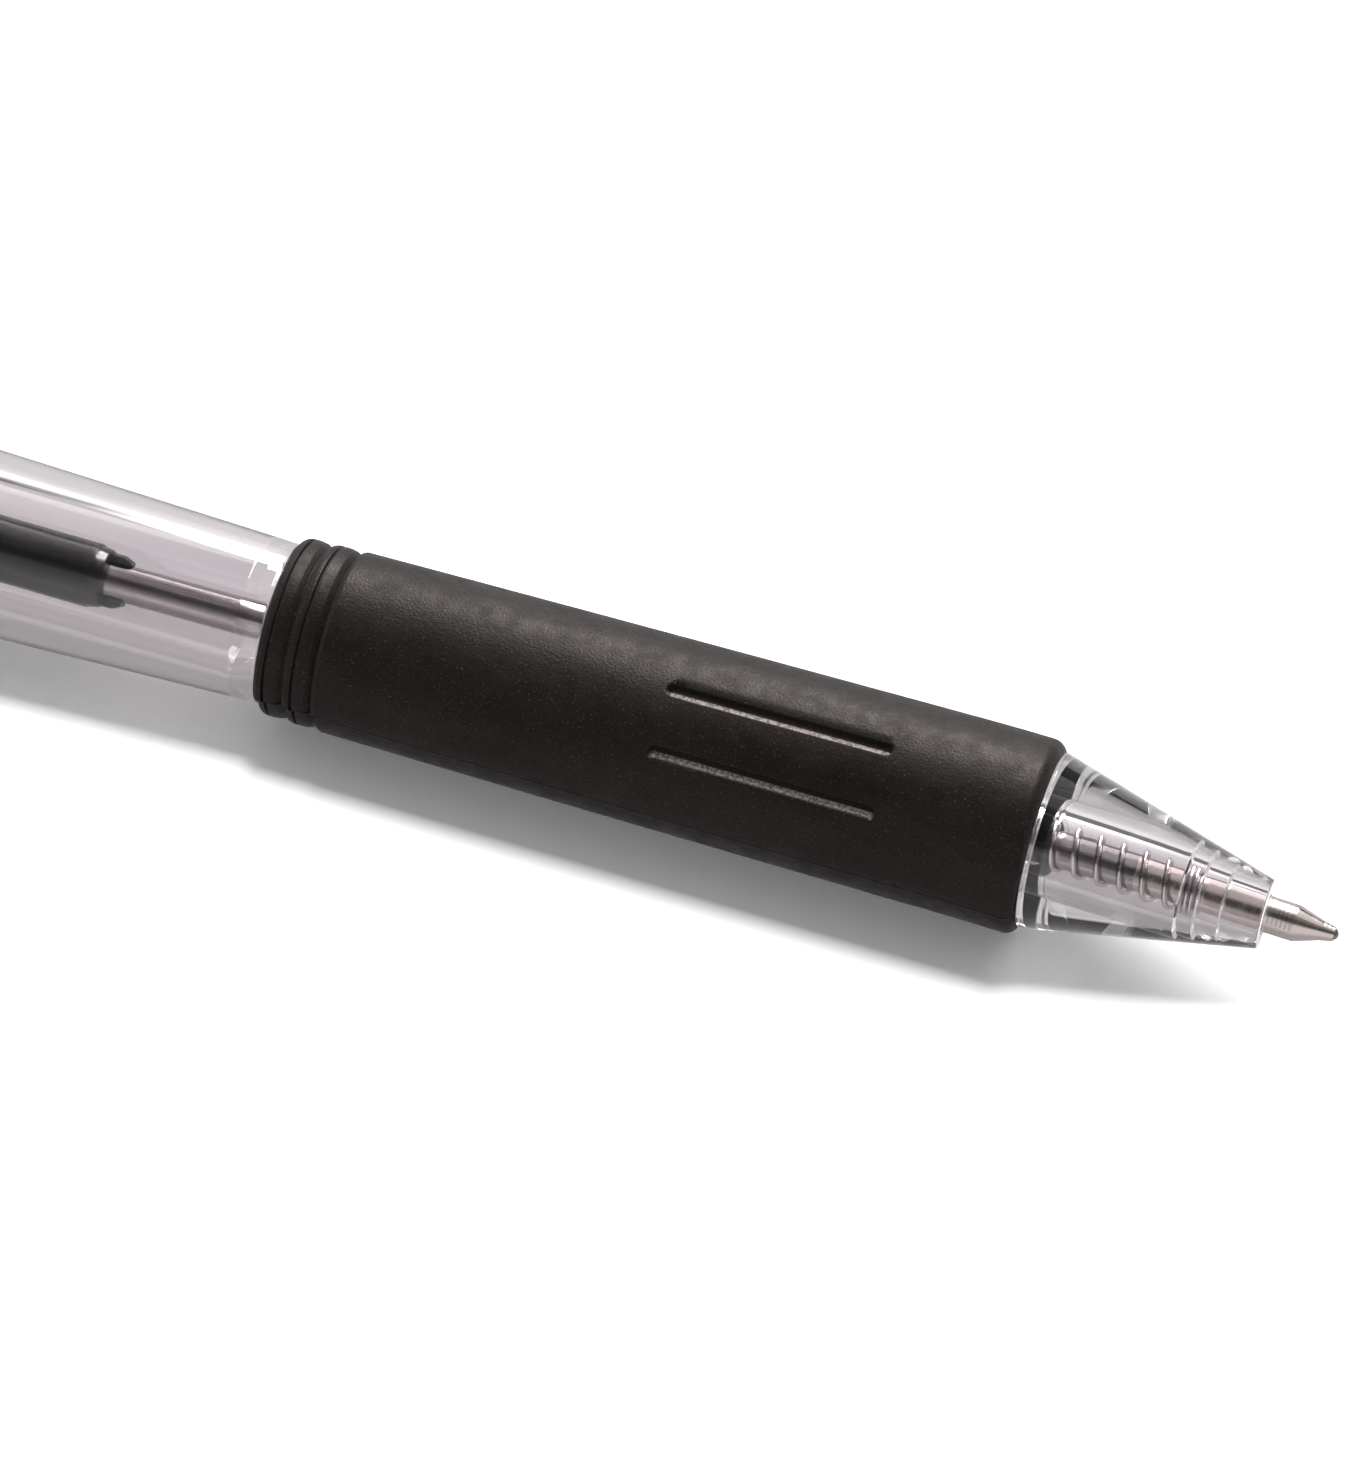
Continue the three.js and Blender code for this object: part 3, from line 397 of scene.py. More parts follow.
def moulded_acetal(name, colour):
    """Acetal moulded without polish: milky, slippery and evenly satin."""
    material, tree, shader, place = start_material(name, {"Base Color": colour, "IOR": 1.48})
    tree.links.new(spread(tree, mottle(tree, place, 0.8, 3.0), 0.32, 0.46), shader.inputs["Roughness"])
    press_in(tree, shader, mottle(tree, place, 0.3, 2.0), 0.006, 0.4)
    return material


def drawn_metal(name, colour, roughness, streak, depth):
    """Metal drawn or rolled along the pen: bright, with fine streaks that run with it."""
    material, tree, shader, place = start_material(name, {"Base Color": colour, "Metallic": 1.0})
    streaks = mottle(tree, place, streak, 3.0, (40, 1, 1))
    tree.links.new(spread(tree, streaks, roughness * 0.6, roughness * 1.5), shader.inputs["Roughness"])
    press_in(tree, shader, streaks, depth, 0.4)
    return material


# How far apart the turned rings are drawn, in millimetres, and how far apart the wave pattern's own are
RING_SPACING = 0.28274
WAVE_SPACING = math.pi / 10


def turned_nickel_silver(colours):
    """Nickel silver turned on a lathe: warm grey metal with fine rings across it, drawn coarser to show."""
    material, tree, shader, place = start_material("turned_nickel_silver", {
        "Base Color": colours.point, "Metallic": 1.0})
    rings = add_node(tree, "ShaderNodeTexWave", {"wave_type": "BANDS", "bands_direction": "X",
                                                 "Scale": WAVE_SPACING / RING_SPACING, "Distortion": 0.6},
                     {"Vector": place})
    tree.links.new(spread(tree, mottle(tree, place, 0.5, 3.0), 0.12, 0.24), shader.inputs["Roughness"])
    press_in(tree, shader, rings.outputs["Fac"], 0.004, 0.5)
    return material


def wet_fill(name, colour, roughness):
    """A liquid or grease that wets its tube: dark gloss with slow streaks."""
    material, tree, shader, place = start_material(name, {"Base Color": colour, "IOR": 1.45})
    tree.links.new(spread(tree, mottle(tree, place, 1.5, 2.0, (5, 1, 1)), roughness, roughness * 2),
                   shader.inputs["Roughness"])
    return material


# Operators, one for each piece or group of like pieces

class PEN_OT_barrel(bpy.types.Operator):
    """Builds the clear barrel, with its slim core under the rubber and its stepped tail"""

    bl_idname = "pen.barrel"
    bl_label = "Barrel"

    def execute(self, context):
        finish = clear_moulded_polycarbonate(context.scene.pen_colours)
        fillet = context.scene.pen_sizes.edge_round / MM
        shoulder = RING_END - 2.0
        core_front = BARREL_FRONT + 0.03
        section = rounded([
            (3.9, core_front), (4.65, core_front), (4.65, GRIP_END, 0), (5.08, GRIP_END, 0.45),
            (5.13, GRIP_END + 0.9, 0.4), (6.1, GRIP_END + 31.5, 0), (6.1, shoulder), (5.2, shoulder),
            (5.2, BARREL_END), (3.9, BARREL_END), (3.9, GRIP_END + 1.9, 1.0), (3.3, GRIP_END - 0.8, 0.5),
            (3.3, BARREL_FRONT + 8.8, 0), (3.9, BARREL_FRONT + 8.8, 0)], fillet, 5)
        as_object("clear_barrel", lathe(section), "barrel", ["barrel"], finish)
        return {"FINISHED"}


class PEN_OT_nose_cone(bpy.types.Operator):
    """Builds the clear nose cone, with the stepped bore that guides the spring and the spigot behind it"""

    bl_idname = "pen.nose_cone"
    bl_label = "Nose Cone"

    def execute(self, context):
        finish = clear_moulded_polycarbonate(context.scene.pen_colours, haze=1.0)
        fillet = context.scene.pen_sizes.edge_round / MM
        base = GRIP_FRONT
        rim = base - 0.4
        step = NOSE_FRONT + 2.6
        seat = step + 1.5
        section = rounded([
            (1.28, NOSE_FRONT), (2.18, NOSE_FRONT, 0.15), (5.5, rim, 0), (5.56, rim + 0.2), (5.5, base),
            (3.76, base), (3.76, NOSE_END, 0.3), (1.95, NOSE_END), (2.02, seat + 1.25), (1.82, seat + 1.1),
            (1.82, seat + 0.1), (1.55, seat), (1.55, step + 0.1), (1.28, step)], fillet, 4)
        as_object("clear_nose", lathe(section), "nose", ["nose_cone"], finish)
        return {"FINISHED"}


# Drop of the rubber's surface below its plain taper, by distance from its rear end, both in millimetres:
# two round-shouldered rings with a notch in front of each and a fine slit along each crown
REAR_RINGS = [(0.0, 0.8), (0.06, 0.5), (0.2, 0.25), (0.4, 0.1), (0.68, 0.05), (0.73, 0.28), (0.81, 0.28),
              (0.87, 0.05), (1.1, 0.06), (1.5, 0.13), (1.75, 0.27), (1.88, 0.37), (1.97, 0.3), (2.08, 0.1),
              (2.3, 0.03), (2.52, 0.02), (2.57, 0.24), (2.65, 0.24), (2.71, 0.03), (3.1, 0.05), (3.45, 0.13),
              (3.66, 0.27), (3.79, 0.37), (3.88, 0.28), (3.98, 0.08), (4.15, 0.0)]

# The finger slots lie in three pairs: where they start and end, the first pair's middle, the spread of a
# pair, how wide the slope of a wall is, and between which places across a slot the pale band lies: dust, with
# a painted light along the slot's lower, upward-facing wall. The mould's two halves meet in a line on each
# side, with a thin flash along it. Angles are in degrees, the rest in mm.
SLOT_START = GRIP_FRONT + 9.55
SLOT_END = SLOT_START + 14.4
SLOT_PAIR_ANGLE = 23.9
SLOT_SPREAD = 39.6
SLOT_WALL = 0.22
DUST_AND_PAINTED_LIGHT_LOW = -0.04
DUST_AND_PAINTED_LIGHT_HIGH = 0.42
MOULD_LINE_ANGLE = 90.4
MOULD_LINE_WIDTH = 0.5
FLASH_HEIGHT = 0.035
FLASH_WIDTH = 0.07
GRIP_FRONT_ROUND = 0.9
GRIP_BORE = 4.7


def smooth_step(t):
    """A smooth rise from 0 to 1."""
    t = min(max(t, 0.0), 1.0)
    return t * t * (3 - 2 * t)


def slot_angles():
    """The six finger slots' angles, in three pairs."""
    sides = (-SLOT_SPREAD / 2, SLOT_SPREAD / 2)
    return [SLOT_PAIR_ANGLE + 120 * pair + side for pair in range(3) for side in sides]


def angle_between(one, other):
    """The signed turn from one angle to another, from -180 to 180 degrees."""
    return (one - other + 180) % 360 - 180


def plain_grip_radius(station):
    """The rubber's slow taper without its details, as a curve through its front, middle and rear radius."""
    front, middle, rear = 6.14, 5.97, 5.7
    t = (station - GRIP_FRONT) / (GRIP_END - GRIP_FRONT)
    return front * (1 - t) * (1 - 2 * t) + middle * 4 * t * (1 - t) + rear * t * (2 * t - 1)


def grip_radius(station, angle, sizes):
    """The rubber's radius at a place, with its rounds, rings, finger slots and mould line."""
    plain = plain_grip_radius(station)
    from_front = max(station - GRIP_FRONT, 0.0)
    drop = 0.0
    if from_front < GRIP_FRONT_ROUND:
        left = GRIP_FRONT_ROUND - from_front
        drop = GRIP_FRONT_ROUND - math.sqrt(max(GRIP_FRONT_ROUND ** 2 - left ** 2, 0.0))
    past_line = angle_between(angle, MOULD_LINE_ANGLE)
    # From the mould line on the camera's side down to the underside, the rings sit a little further forward
    below_line = past_line if abs(past_line) < 90 else abs(past_line) - 180
    shift = sizes.mould_step / MM * smooth_step(below_line / MOULD_LINE_WIDTH + 0.5)
    drop += between(REAR_RINGS, max(GRIP_END - station - shift, 0.0))
    for slot_angle in slot_angles():
        across = math.radians(angle_between(angle, slot_angle)) * plain
        half = sizes.slot_width / MM / 2
        if abs(across) > 2 * half:
            continue
        along = max(SLOT_START + half - station, station - SLOT_END + half, 0.0)
        inside = half - math.hypot(across, along)
        drop += sizes.slot_depth / MM * smooth_step(inside / SLOT_WALL + 0.25)
    line = math.radians(past_line if abs(past_line) < 90 else angle_between(angle, MOULD_LINE_ANGLE + 180))
    flash = FLASH_HEIGHT * math.exp(-((line * plain / FLASH_WIDTH) ** 2))
    return plain - drop + flash


def slot_dust_and_painted_light(station, angle):
    """How much of the pale band lies at a place: dust with a painted light along the lower, upward-facing
    wall of each finger slot.
    """
    for slot_angle in slot_angles():
        across = math.radians(angle_between(angle, slot_angle)) * plain_grip_radius(station)
        if -0.1 < across < 0.5:
            ends = min(station - SLOT_START, SLOT_END - station)
            return (smooth_step((across - DUST_AND_PAINTED_LIGHT_LOW) / 0.1) * smooth_step((DUST_AND_PAINTED_LIGHT_HIGH - across) / 0.12)
                    * smooth_step(ends / 0.3))
    return 0.0


def fine_steps(start, end, coarse, fine_spans):
    """Places from start to end, coarse apart, but closer inside the spans (low, high, step)."""
    places = {round(start, 5), round(end, 5)}
    for low, high, step in fine_spans:
        count = max(1, round((high - low) / step))
        places.update(round(low + (high - low) * k / count, 5) for k in range(count + 1))
    inside = [p for p in places if start <= p <= end]
    count = round((end - start) / coarse)
    for k in range(count + 1):
        place = start + (end - start) * k / count
        if all(not low <= place <= high for low, high, _ in fine_spans):
            inside.append(round(place, 5))
    return sorted(set(inside))


class PEN_OT_grip_sleeve(bpy.types.Operator):
    """Builds the rubber grip, with its rear rings, finger slots, mould line, and a band of dust with painted
    light on the slots' lower walls
    """

    bl_idname = "pen.grip_sleeve"
    bl_label = "Grip Sleeve"

    def execute(self, context):
        sizes = context.scene.pen_sizes
        front_round = (GRIP_FRONT, GRIP_FRONT + GRIP_FRONT_ROUND, 0.09)
        rings = (GRIP_END - 4.6, GRIP_END, 0.035)
        slot_ends = [(middle - 0.8, middle + 0.8, 0.07) for middle in (SLOT_START + 0.4, SLOT_END - 0.4)]
        rows = fine_steps(GRIP_FRONT, GRIP_END, 1.2, [front_round, rings] + slot_ends)
        slots = [(angle % 360 - 6.2, angle % 360 + 6.2, 0.55) for angle in slot_angles()]
        lines = [(line - 2, line + 2, 0.3) for line in (MOULD_LINE_ANGLE, MOULD_LINE_ANGLE + 180)]
        columns = [c for c in fine_steps(0, 360, 3.0, slots + lines) if c < 360]
        made = bmesh.new()
        grid = [[made.verts.new(point_at(s, grip_radius(s, a, sizes), a)) for a in columns] for s in rows]
        grid += [[made.verts.new(point_at(s, GRIP_BORE, a)) for a in columns] for s in (rows[-1], rows[0])]
        for one, other in zip(grid, grid[1:] + grid[:1]):
            for k in range(len(columns)):
                n = (k + 1) % len(columns)
                made.faces.new((one[k], one[n], other[n], other[k]))
        finish = black_moulded_rubber(context.scene.pen_colours)
        grip = as_object("rubber_grip", made, "barrel", ["grip_sleeve"], finish,
                         math.radians(50))
        # The attribute holds the slots' pale band: dust with a painted light on each lower wall.
        dust_and_painted_light = grip.data.attributes.new("dust_and_painted_light", "FLOAT", "POINT")
        amounts = [slot_dust_and_painted_light(s, a) for s in rows for a in columns]
        amounts_in_bore = [0.0] * (len(grip.data.vertices) - len(amounts))
        dust_and_painted_light.data.foreach_set("value", amounts + amounts_in_bore)
        return {"FINISHED"}


class PEN_OT_refill(bpy.types.Operator):
    """Builds the refill: its tube with the bead, its turned point, its ball, and what fills it"""

    bl_idname = "pen.refill"
    bl_label = "Refill"

    def execute(self, context):
        colours = context.scene.pen_colours
        tube_finish = drawn_metal("plated_drawn_steel", colours.tube, 0.14, 0.18, 0.004)
        bead = SPRING_END + 0.175
        section = rounded([
            (0.96, TUBE_FRONT), (1.18, TUBE_FRONT), (1.18, bead - 0.15, 0.1), (1.55, bead, 0.12),
            (1.55, bead + 0.8, 0.3), (1.18, bead + 1.25, 0.4), (1.18, TUBE_END), (0.96, TUBE_END)], 0.03)
        tube = let_sag(lathe(section, SMALL_SIDES))
        as_object("refill_barrel", tube, "refill", ["refill_tube"], tube_finish)
        point_finish = turned_nickel_silver(colours)
        lip = 0.26
        section = rounded([
            (0.0, 0.9, 0), (0.25, 0.75), (0.42, 0.42, 0), (0.41, lip), (0.46, lip), (0.62, lip + 0.75, 0.05),
            (1.15, lip + 2.45, 0.1), (1.15, TUBE_FRONT, 0), (0.9, TUBE_FRONT), (0.9, TUBE_FRONT + 3.0),
            (0.0, TUBE_FRONT + 3.0)], 0.02)
        point = lathe(section, SMALL_SIDES)
        as_object("turned_point", point, "refill", ["refill_point"], point_finish)
        ball = bmesh.new()
        size = (BALL_HIGH.x - BALL_LOW.x) / 2
        middle = Matrix.Translation(point_at(size / MM))
        bmesh.ops.create_icosphere(ball, subdivisions=4, radius=size, matrix=middle)
        ball_finish = drawn_metal("ground_carbide", linear("#8f8886"), 0.12, 0.1, 0.002)
        as_object("carbide_ball", ball, "ball", ["writing_ball"], ball_finish)
        ink = wet_fill("oil_ink", linear("#0b0b0e"), 0.15)
        grease = wet_fill("follower_grease", linear("#d3c9a0"), 0.2)
        plug = moulded_acetal("white_polypropylene", linear("#e3e1dd"))
        softened("ink_fill", "ink_column", "refill", ink, 0.03, loose=True)
        softened("grease_fill", "ink_follower", "refill", grease, 0.03, loose=True)
        softened("vented_plug", "refill_end_plug", "refill", plug, 0.03, loose=True)
        return {"FINISHED"}


# Where the spring's wire starts, in degrees, its outside radius in millimetres, and how finely it is drawn
SPRING_START_ANGLE = -83.0
SPRING_RADIUS = 1.63
STEPS_A_TURN = 40
WIRE_SIDES = 10


class PEN_OT_spring(bpy.types.Operator):
    """Winds the spring: close coils at its ends, open coils between"""

    bl_idname = "pen.spring"
    bl_label = "Spring"

    def execute(self, context):
        sizes = context.scene.pen_sizes
        wire = sizes.spring_wire / MM / 2
        close = 2.06 * wire
        end_turns = sizes.spring_end_coils
        room = SPRING_END - SPRING_FRONT - 2 * wire - 2 * end_turns * close
        open_turns = round(room / (sizes.spring_pitch / MM) * 2) / 2
        open_pitch = room / open_turns
        coil = SPRING_RADIUS - wire
        total = 2 * end_turns + open_turns
        made = bmesh.new()
        rings = []
        for i in range(int(total * STEPS_A_TURN) + 1):
            turn = i / STEPS_A_TURN
            opened = min(max(turn - end_turns, 0), open_turns)
            closed = turn - opened
            station = SPRING_FRONT + wire + closed * close + opened * open_pitch
            pitch = open_pitch if 0 < opened < open_turns else close
            angle = SPRING_START_ANGLE - 360 * turn
            slope = math.atan2(pitch, 2 * math.pi * coil)
            ring = []
            for k in range(WIRE_SIDES):
                across = 2 * math.pi * k / WIRE_SIDES
                outwards = wire * math.cos(across)
                along = wire * math.sin(across) / math.cos(slope)
                ring.append(made.verts.new(point_at(station + along, coil + outwards, angle)))
            rings.append(ring)
        for one, other in zip(rings, rings[1:]):
            for k in range(WIRE_SIDES):
                n = (k + 1) % WIRE_SIDES
                made.faces.new((one[k], one[n], other[n], other[k]))
        made.faces.new(rings[0])
        made.faces.new(rings[-1])
        finish = drawn_metal("drawn_spring_steel", linear("#c9c4c4"), 0.16, 0.1, 0.002)
        spring = as_object("wound_spring", made, None, ["refill_spring"], finish)
        point_at(SPRING_FRONT)
        point_at(SPRING_END)
        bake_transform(spring)
        return {"FINISHED"}


# Where the first of the rod's two fingers stands and half its width, in degrees
FINGER_ANGLE = -54.0
FINGER_HALF_WIDTH = 22.0


def add_finger(made, section, middle, half_width, steps=12):
    """Adds a stretch of ring to a bmesh: a section turned through half_width each way from its middle."""
    rings = []
    for k in range(steps + 1):
        angle = middle + half_width * (2 * k / steps - 1)
        rings.append([made.verts.new(point_at(station, radius, angle)) for radius, station in section])
    for one, other in zip(rings, rings[1:]):
        for k in range(len(section)):
            made.faces.new([one[k - 1], one[k], other[k], other[k - 1]])
    made.faces.new(rings[0])
    made.faces.new(rings[-1])


class PEN_OT_push_rod(bpy.types.Operator):
    """Builds the black push rod, with its tapered collar and the two fingers that hold the refill"""

    bl_idname = "pen.push_rod"
    bl_label = "Push Rod"

    def execute(self, context):
        finish = black_moulded_abs(context.scene.pen_colours)
        collar = ROD_FRONT + 2.0
        shoulder = collar + 0.75
        socket = TUBE_END + 0.3
        journal = ROD_END - 5.2
        section = rounded([
            (0.0, ROD_END), (0.0, socket), (1.22, socket), (1.22, collar), (1.85, collar, 0.1),
            (1.95, shoulder - 0.05, 0.02), (2.05, shoulder, 0.1), (2.05, journal, 0.1),
            (1.0, journal, 0.05), (1.0, ROD_END, 0.15)], 0.05)
        made = lathe(section)
        finger = rounded([
            (1.22, collar + 0.15), (1.22, ROD_FRONT + 0.7, 0.4), (1.45, ROD_FRONT + 0.6, 0.3),
            (1.72, ROD_FRONT + 1.2, 0.5), (1.72, collar + 0.15)], 0.02)
        for angle in (FINGER_ANGLE, FINGER_ANGLE + 180):
            add_finger(made, finger, angle, FINGER_HALF_WIDTH)
        as_object("moulded_push_rod", let_sag(made), "refill", ["push_rod"], finish)
        return {"FINISHED"}


class PEN_OT_click_mechanism(bpy.types.Operator):
    """Finishes the click mechanism: the rotor, the stop sleeve and the plunger"""

    bl_idname = "pen.click_mechanism"
    bl_label = "Click Mechanism"

    def execute(self, context):
        white = moulded_acetal("white_acetal", linear("#e6e4df"))
        black = moulded_acetal("black_acetal", linear("#191818"))
        grey = moulded_acetal("grey_acetal", linear("#8d8a8a"))
        softened("moulded_rotor", "cam_rotor", "rotor", white, 0.04)
        softened("moulded_sleeve", "stop_sleeve", "barrel", black, 0.04)
        softened("moulded_plunger", "cam_plunger", "button", grey, 0.02)
        return {"FINISHED"}


class PEN_OT_rear_end(bpy.types.Operator):
    """Builds the rear end: the push button, the cap and the pocket clip"""

    bl_idname = "pen.rear_end"
    bl_label = "Rear End"

    def execute(self, context):
        finish = black_moulded_abs(context.scene.pen_colours)
        fillet = context.scene.pen_sizes.edge_round / MM
        flange_end = BUTTON_FRONT + 1.0
        peg_end = BUTTON_FRONT + 4.3
        section = rounded([
            (0.0, peg_end), (1.85, peg_end), (1.85, BUTTON_FRONT), (3.8, BUTTON_FRONT), (3.8, flange_end),
            (3.2, flange_end), (3.2, BUTTON_END, 0.9), (0.0, BUTTON_END)], fillet, 6)
        as_object("thumb_button", lathe(section), "button", ["push_button"], finish)
        room_end = flange_end + 5.8
        sleeve_end = BARREL_END + 1.0
        section = rounded([
            (5.25, RING_END), (6.1, RING_END, 0.12), (6.1, BARREL_END, 2.0), (5.0, CAP_END, 0.8),
            (3.3, CAP_END, 0.12), (3.3, room_end), (3.9, room_end), (3.9, sleeve_end), (5.25, sleeve_end)],
            fillet, 6)
        as_object("barrel_cap", lathe(section), "barrel", ["rear_cap"], finish)
        softened("moulded_clip", "pocket_clip", "barrel", finish, 0.15, 3)
        return {"FINISHED"}


# The white table, in metres: it lies just under the pen
TABLE_HALF = 3.0
TABLE_HEIGHT = -0.00002

# What the plastic and the metal show of the table: a grey with a glow that is dimmer near the pen, a painted
# shade of the pen, by how far it lies to the side, in millimetres
TABLE_SHADE = 0.14
TABLE_PAINTED_GLOW = (0.31, 0.64)
TABLE_PAINTED_GLOW_FROM = (12, 40)

# The room's light by the direction that it comes from: its level at angles from the front's horizon at 0
# degrees over the top to the back's at 180. The colour ramps hold it as a share of the peak.
LIGHT_PEAK = 2.0
GRIP_LIGHT = [(0, 0.36), (50, 0.36), (54, 0.04), (101, 0.05), (109, 0.45), (128, 0.45), (138, 0.15),
              (147, 0.15), (156, 1.2), (180, 1.2)]
POINT_LIGHT = [(0, 1.0), (43, 1.0), (50, 0.2), (60, 0.08), (77, 0.1), (85, 0.25), (103, 0.3), (109, 0.9),
               (128, 0.9), (156, 1.2), (160, 0.15), (180, 0.15)]
BARREL_LIGHT = [(0, 1.6), (18, 1.2), (30, 0.6), (45, 0.35), (55, 0.25), (60, 0.05), (90, 0.03), (97, 0.04),
                (99, 0.35), (102, 0.35), (104, 0.06), (109, 0.15), (112, 0.4), (120, 0.35), (125, 0.06),
                (141, 0.08), (146, 0.4), (157, 0.4), (162, 0.7), (180, 0.7)]
NOSE_LIGHT = [(0, 0.45), (28, 0.45), (40, 0.16), (50, 0.06), (62, 0.06), (72, 0.12), (80, 0.35), (88, 0.75),
              (108, 0.75), (122, 0.85), (133, 2.0), (147, 2.0), (150, 0.15), (176, 0.15), (180, 0.3)]

# Each of the pen's parts mirrors or bends light from its own stretch of the room, given by the direction's
# share along X: nothing of a light shows at its first share, and all of it from its second share on. The end
# lights are plain levels beyond the point and behind the button.
LIGHTS_ALONG = [(-0.13, -0.12, POINT_LIGHT), (-0.2, -0.21, BARREL_LIGHT), (-0.255, -0.275, NOSE_LIGHT)]
END_LIGHTS = [(0.6, 0.7, 0.35), (-0.5, -0.6, 1.1)]

# A bright strip lamp low at the back: its level, where its near and far edges lie in degrees, how far its
# near edge leans and between which shares along X, and where it fades out to either side
STRIP_LIGHT = 25.0
STRIP_NEAR = (148, 151)
STRIP_FAR = (160, 165)
STRIP_LEAN = 28
STRIP_LEAN_ALONG = (-0.22, -0.06)
STRIP_RIGHT = (0.08, 0.2)
STRIP_LEFT = (-0.2, -0.175)
STRIP_LEFT_REST = 0.1

# The key lamp over the pen's middle: its lean from straight up in degrees, size in metres and power in watts
KEY_STATION = 45
KEY_LEAN = 14
KEY_SIZE = 0.19
KEY_POWER = 9.0


def white_laminate():
    """A matt white table top: white to the camera, and a shaded grey in what the pen mirrors and bends, with
    a painted shade of the pen, dimmer near it.
    """
    material, tree, shader, place = start_material("white_laminate", {
        "Roughness": 0.9, "IOR": 1.3, "Specular IOR Level": 0.0, "Emission Color": linear("#fbf6f9")})
    path = add_node(tree, "ShaderNodeLightPath")
    in_pen = add_node(tree, "ShaderNodeMath", {"operation": "MAXIMUM"},
                      {0: path.outputs["Is Glossy Ray"], 1: path.outputs["Is Transmission Ray"]})
    straight = add_node(tree, "ShaderNodeMix", {"data_type": "RGBA", 6: (0.8, 0.8, 0.8, 1), 7: (1, 1, 1, 1)},
                        {0: path.outputs["Is Camera Ray"]})
    shaded = add_node(tree, "ShaderNodeMix", {"data_type": "RGBA", 7: (TABLE_SHADE,) * 3 + (1,)},
                      {0: in_pen.outputs[0], 6: straight.outputs[2]})
    tree.links.new(shaded.outputs[2], shader.inputs["Base Color"])
    # The glow is dimmer close to the pen: a painted shade of the pen on the table.
    where = add_node(tree, "ShaderNodeSeparateXYZ", links={"Vector": place})
    away = add_node(tree, "ShaderNodeMath", {"operation": "ABSOLUTE"}, {0: where.outputs["Y"]})
    painted_glow = add_node(tree, "ShaderNodeMath", {"operation": "MULTIPLY"},
                    {0: in_pen.outputs[0], 1: spread(tree, away.outputs[0], *TABLE_PAINTED_GLOW, TABLE_PAINTED_GLOW_FROM)})
    tree.links.new(painted_glow.outputs[0], shader.inputs["Emission Strength"])
    return material


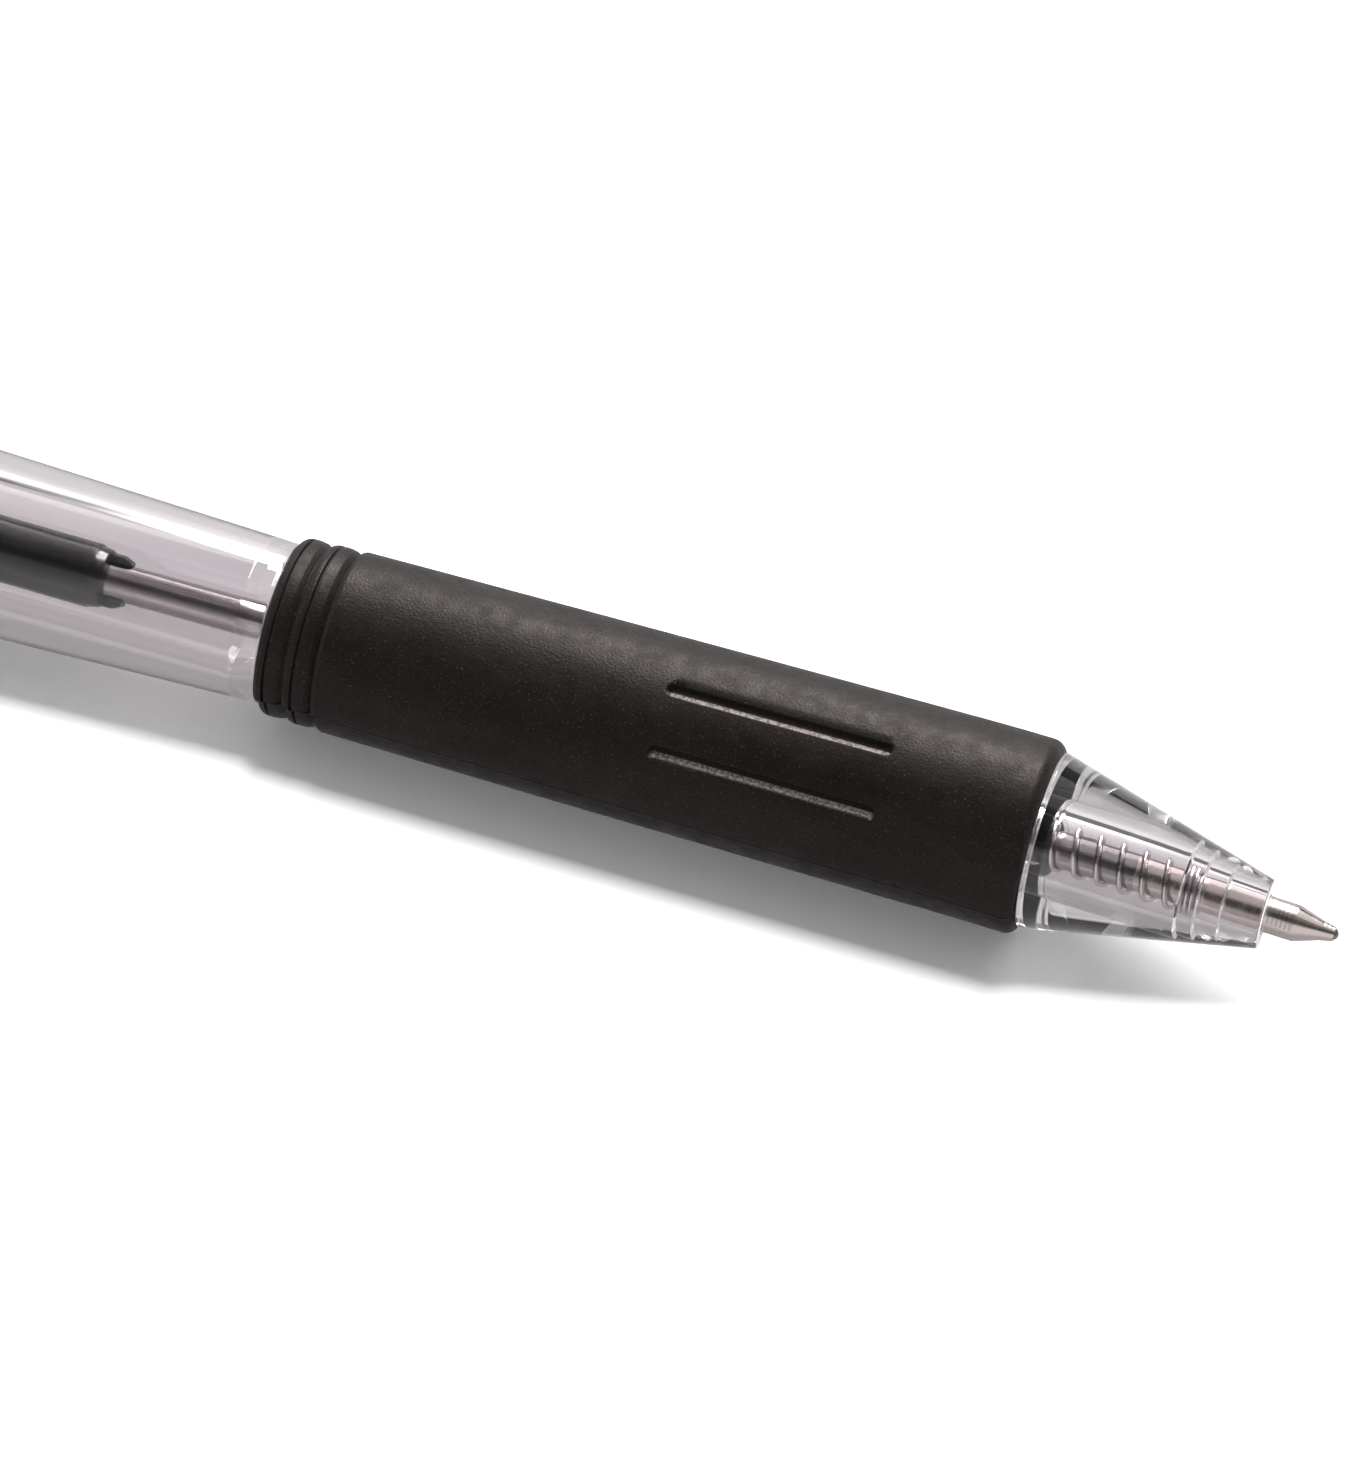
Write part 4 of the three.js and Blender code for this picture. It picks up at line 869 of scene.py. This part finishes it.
class PEN_OT_stage(bpy.types.Operator):
    """Sets the white table, the soft lights and the camera"""

    bl_idname = "pen.stage"
    bl_label = "Stage"

    def execute(self, context):
        self.lay_table()
        self.light_room(context.scene)
        self.hang_key_lamp()
        self.set_camera(context.scene)
        context.scene.view_settings.view_transform = "Standard"
        return {"FINISHED"}

    def lay_table(self):
        """Lays the table under the pen."""
        made = bmesh.new()
        half = TABLE_HALF
        corners = [(-half, -half), (half, -half), (half, half), (-half, half)]
        made.faces.new([made.verts.new((x, y, TABLE_HEIGHT)) for x, y in corners])
        mesh = bpy.data.meshes.new("table")
        made.to_mesh(mesh)
        made.free()
        mesh.materials.append(white_laminate())
        table = bpy.data.objects.new("table", mesh)
        bpy.context.scene.collection.objects.link(table)

    def light_round(self, tree, share, levels):
        """A light by the angle round the pen, as a share of the peak."""
        node = add_node(tree, "ShaderNodeValToRGB", links={"Fac": share})
        stops = node.color_ramp.elements
        while len(stops) > 1:
            stops.remove(stops[-1])
        for i, (angle, level) in enumerate(levels):
            stop = stops[0] if i == 0 else stops.new(angle / 180)
            stop.position = angle / 180
            stop.color = (level / LIGHT_PEAK,) * 3 + (1,)
        return node.outputs["Color"]

    def lights_along(self, tree, x, share):
        """The light of the room, with the stretches that each part of the pen shows."""
        light = self.light_round(tree, share, GRIP_LIGHT)
        for none, full, levels in LIGHTS_ALONG:
            light = add_node(tree, "ShaderNodeMix", {"data_type": "RGBA"}, {
                0: spread(tree, x, 0.0, 1.0, (none, full)), 6: light,
                7: self.light_round(tree, share, levels)}).outputs[2]
        return add_node(tree, "ShaderNodeMath", {"operation": "MULTIPLY", 1: LIGHT_PEAK},
                        {0: light}).outputs[0]

    def strip_lamp(self, tree, x, share):
        """The strip lamp's light."""
        lean = spread(tree, x, 0.0, STRIP_LEAN / 180, STRIP_LEAN_ALONG)
        leant = add_node(tree, "ShaderNodeMath", {"operation": "ADD"}, {0: share, 1: lean})
        light = spread(tree, leant.outputs[0], 0.0, 1.0, [angle / 180 for angle in STRIP_NEAR])
        far = spread(tree, share, 1.0, 0.0, [angle / 180 for angle in STRIP_FAR])
        right = spread(tree, x, 1.0, 0.0, STRIP_RIGHT)
        left = spread(tree, x, STRIP_LEFT_REST, 1.0, STRIP_LEFT)
        for edge in (far, right, left):
            light = add_node(tree, "ShaderNodeMath", {"operation": "MULTIPLY"},
                             {0: light, 1: edge}).outputs[0]
        return add_node(tree, "ShaderNodeMath", {"operation": "MULTIPLY", 1: STRIP_LIGHT},
                        {0: light}).outputs[0]

    def light_room(self, scene):
        """Lights the world: white to the camera, and the room's lights in what the pen mirrors and bends."""
        world = bpy.data.worlds.new("studio")
        world.use_nodes = True
        scene.world = world
        tree = world.node_tree
        place = add_node(tree, "ShaderNodeTexCoord")
        parts = add_node(tree, "ShaderNodeSeparateXYZ", links={"Vector": place.outputs["Generated"]})
        x = parts.outputs["X"]
        front = add_node(tree, "ShaderNodeMath", {"operation": "MULTIPLY", 1: -1.0}, {0: parts.outputs["Y"]})
        rise = add_node(tree, "ShaderNodeMath", {"operation": "ARCTAN2"},
                        {0: parts.outputs["Z"], 1: front.outputs[0]})
        share = add_node(tree, "ShaderNodeMath", {"operation": "MULTIPLY", 1: 1 / math.pi},
                         {0: rise.outputs[0]}).outputs[0]
        room = add_node(tree, "ShaderNodeMath", {"operation": "ADD"}, {
            0: self.lights_along(tree, x, share), 1: self.strip_lamp(tree, x, share)}).outputs[0]
        for none, full, level in END_LIGHTS:
            room = add_node(tree, "ShaderNodeMix", {"data_type": "FLOAT", 3: level},
                            {0: spread(tree, x, 0.0, 1.0, (none, full)), 2: room}).outputs[0]
        path = add_node(tree, "ShaderNodeLightPath")
        light = add_node(tree, "ShaderNodeMix", {"data_type": "FLOAT", 3: 1.0},
                         {0: path.outputs["Is Camera Ray"], 2: room})
        background = tree.nodes["Background"]
        background.inputs["Color"].default_value = (1, 1, 1, 1)
        tree.links.new(light.outputs[0], background.inputs["Strength"])

    def hang_key_lamp(self):
        """Hangs a soft square lamp over the pen, which neither the plastic nor the metal shows."""
        data = bpy.data.lights.new("key_lamp", "AREA")
        data.shape = "RECTANGLE"
        data.size = KEY_SIZE
        data.size_y = KEY_SIZE
        data.energy = KEY_POWER
        lamp = bpy.data.objects.new("key_lamp", data)
        bpy.context.scene.collection.objects.link(lamp)
        lean = math.radians(KEY_LEAN)
        from_pen = Vector((0, math.sin(lean), math.cos(lean)))
        lamp.location = point_at(KEY_STATION) + from_pen
        lamp.rotation_euler = (-from_pen).to_track_quat("-Z", "Y").to_euler()
        lamp.visible_camera = False
        lamp.visible_glossy = False
        lamp.visible_transmission = False

    def set_camera(self, scene):
        """Sets the camera at the photograph's angle."""
        studio = scene.pen_studio
        turn = studio.azimuth
        rise = studio.elevation
        towards = Vector((math.sin(turn) * math.cos(rise), -math.cos(turn) * math.cos(rise), math.sin(rise)))
        data = bpy.data.cameras.new("camera")
        data.sensor_fit = "HORIZONTAL"
        data.sensor_width = 36.0
        data.lens = studio.lens
        data.clip_start = 0.01
        camera = bpy.data.objects.new("camera", data)
        scene.collection.objects.link(camera)
        camera.location = point_at(studio.look_at / MM) + towards * studio.distance
        camera.rotation_euler = (-towards).to_track_quat("-Z", "Y").to_euler()
        scene.camera = camera


STEPS = (PEN_OT_stage, PEN_OT_barrel, PEN_OT_nose_cone, PEN_OT_grip_sleeve, PEN_OT_refill, PEN_OT_spring,
         PEN_OT_push_rod, PEN_OT_click_mechanism, PEN_OT_rear_end)


class PEN_PT_panel(bpy.types.Panel):
    """Lists the pen's sizes, colours and building steps"""

    bl_idname = "PEN_PT_panel"
    bl_label = "Ballpoint Pen"
    bl_space_type = "VIEW_3D"
    bl_region_type = "UI"
    bl_category = "Pen"

    def draw(self, context):
        for group in (context.scene.pen_sizes, context.scene.pen_colours, context.scene.pen_studio):
            box = self.layout.box()
            for name in group.__annotations__:
                box.prop(group, name)
        for step in STEPS:
            self.layout.operator(step.bl_idname)


CLASSES = (PenSizes, PenColours, StudioSettings, *STEPS, PEN_PT_panel)


def register():
    """Registers the classes and hangs their settings on the scene."""
    for one in CLASSES:
        bpy.utils.register_class(one)
    bpy.types.Scene.pen_sizes = PointerProperty(type=PenSizes)
    bpy.types.Scene.pen_colours = PointerProperty(type=PenColours)
    bpy.types.Scene.pen_studio = PointerProperty(type=StudioSettings)


def unregister():
    """Takes the settings and classes away again."""
    del bpy.types.Scene.pen_studio
    del bpy.types.Scene.pen_colours
    del bpy.types.Scene.pen_sizes
    for one in reversed(CLASSES):
        bpy.utils.unregister_class(one)


def main():
    """Builds every piece."""
    register()
    for step in STEPS:
        group, name = step.bl_idname.split(".")
        getattr(getattr(bpy.ops, group), name)()


if __name__ == "__main__":
    main()
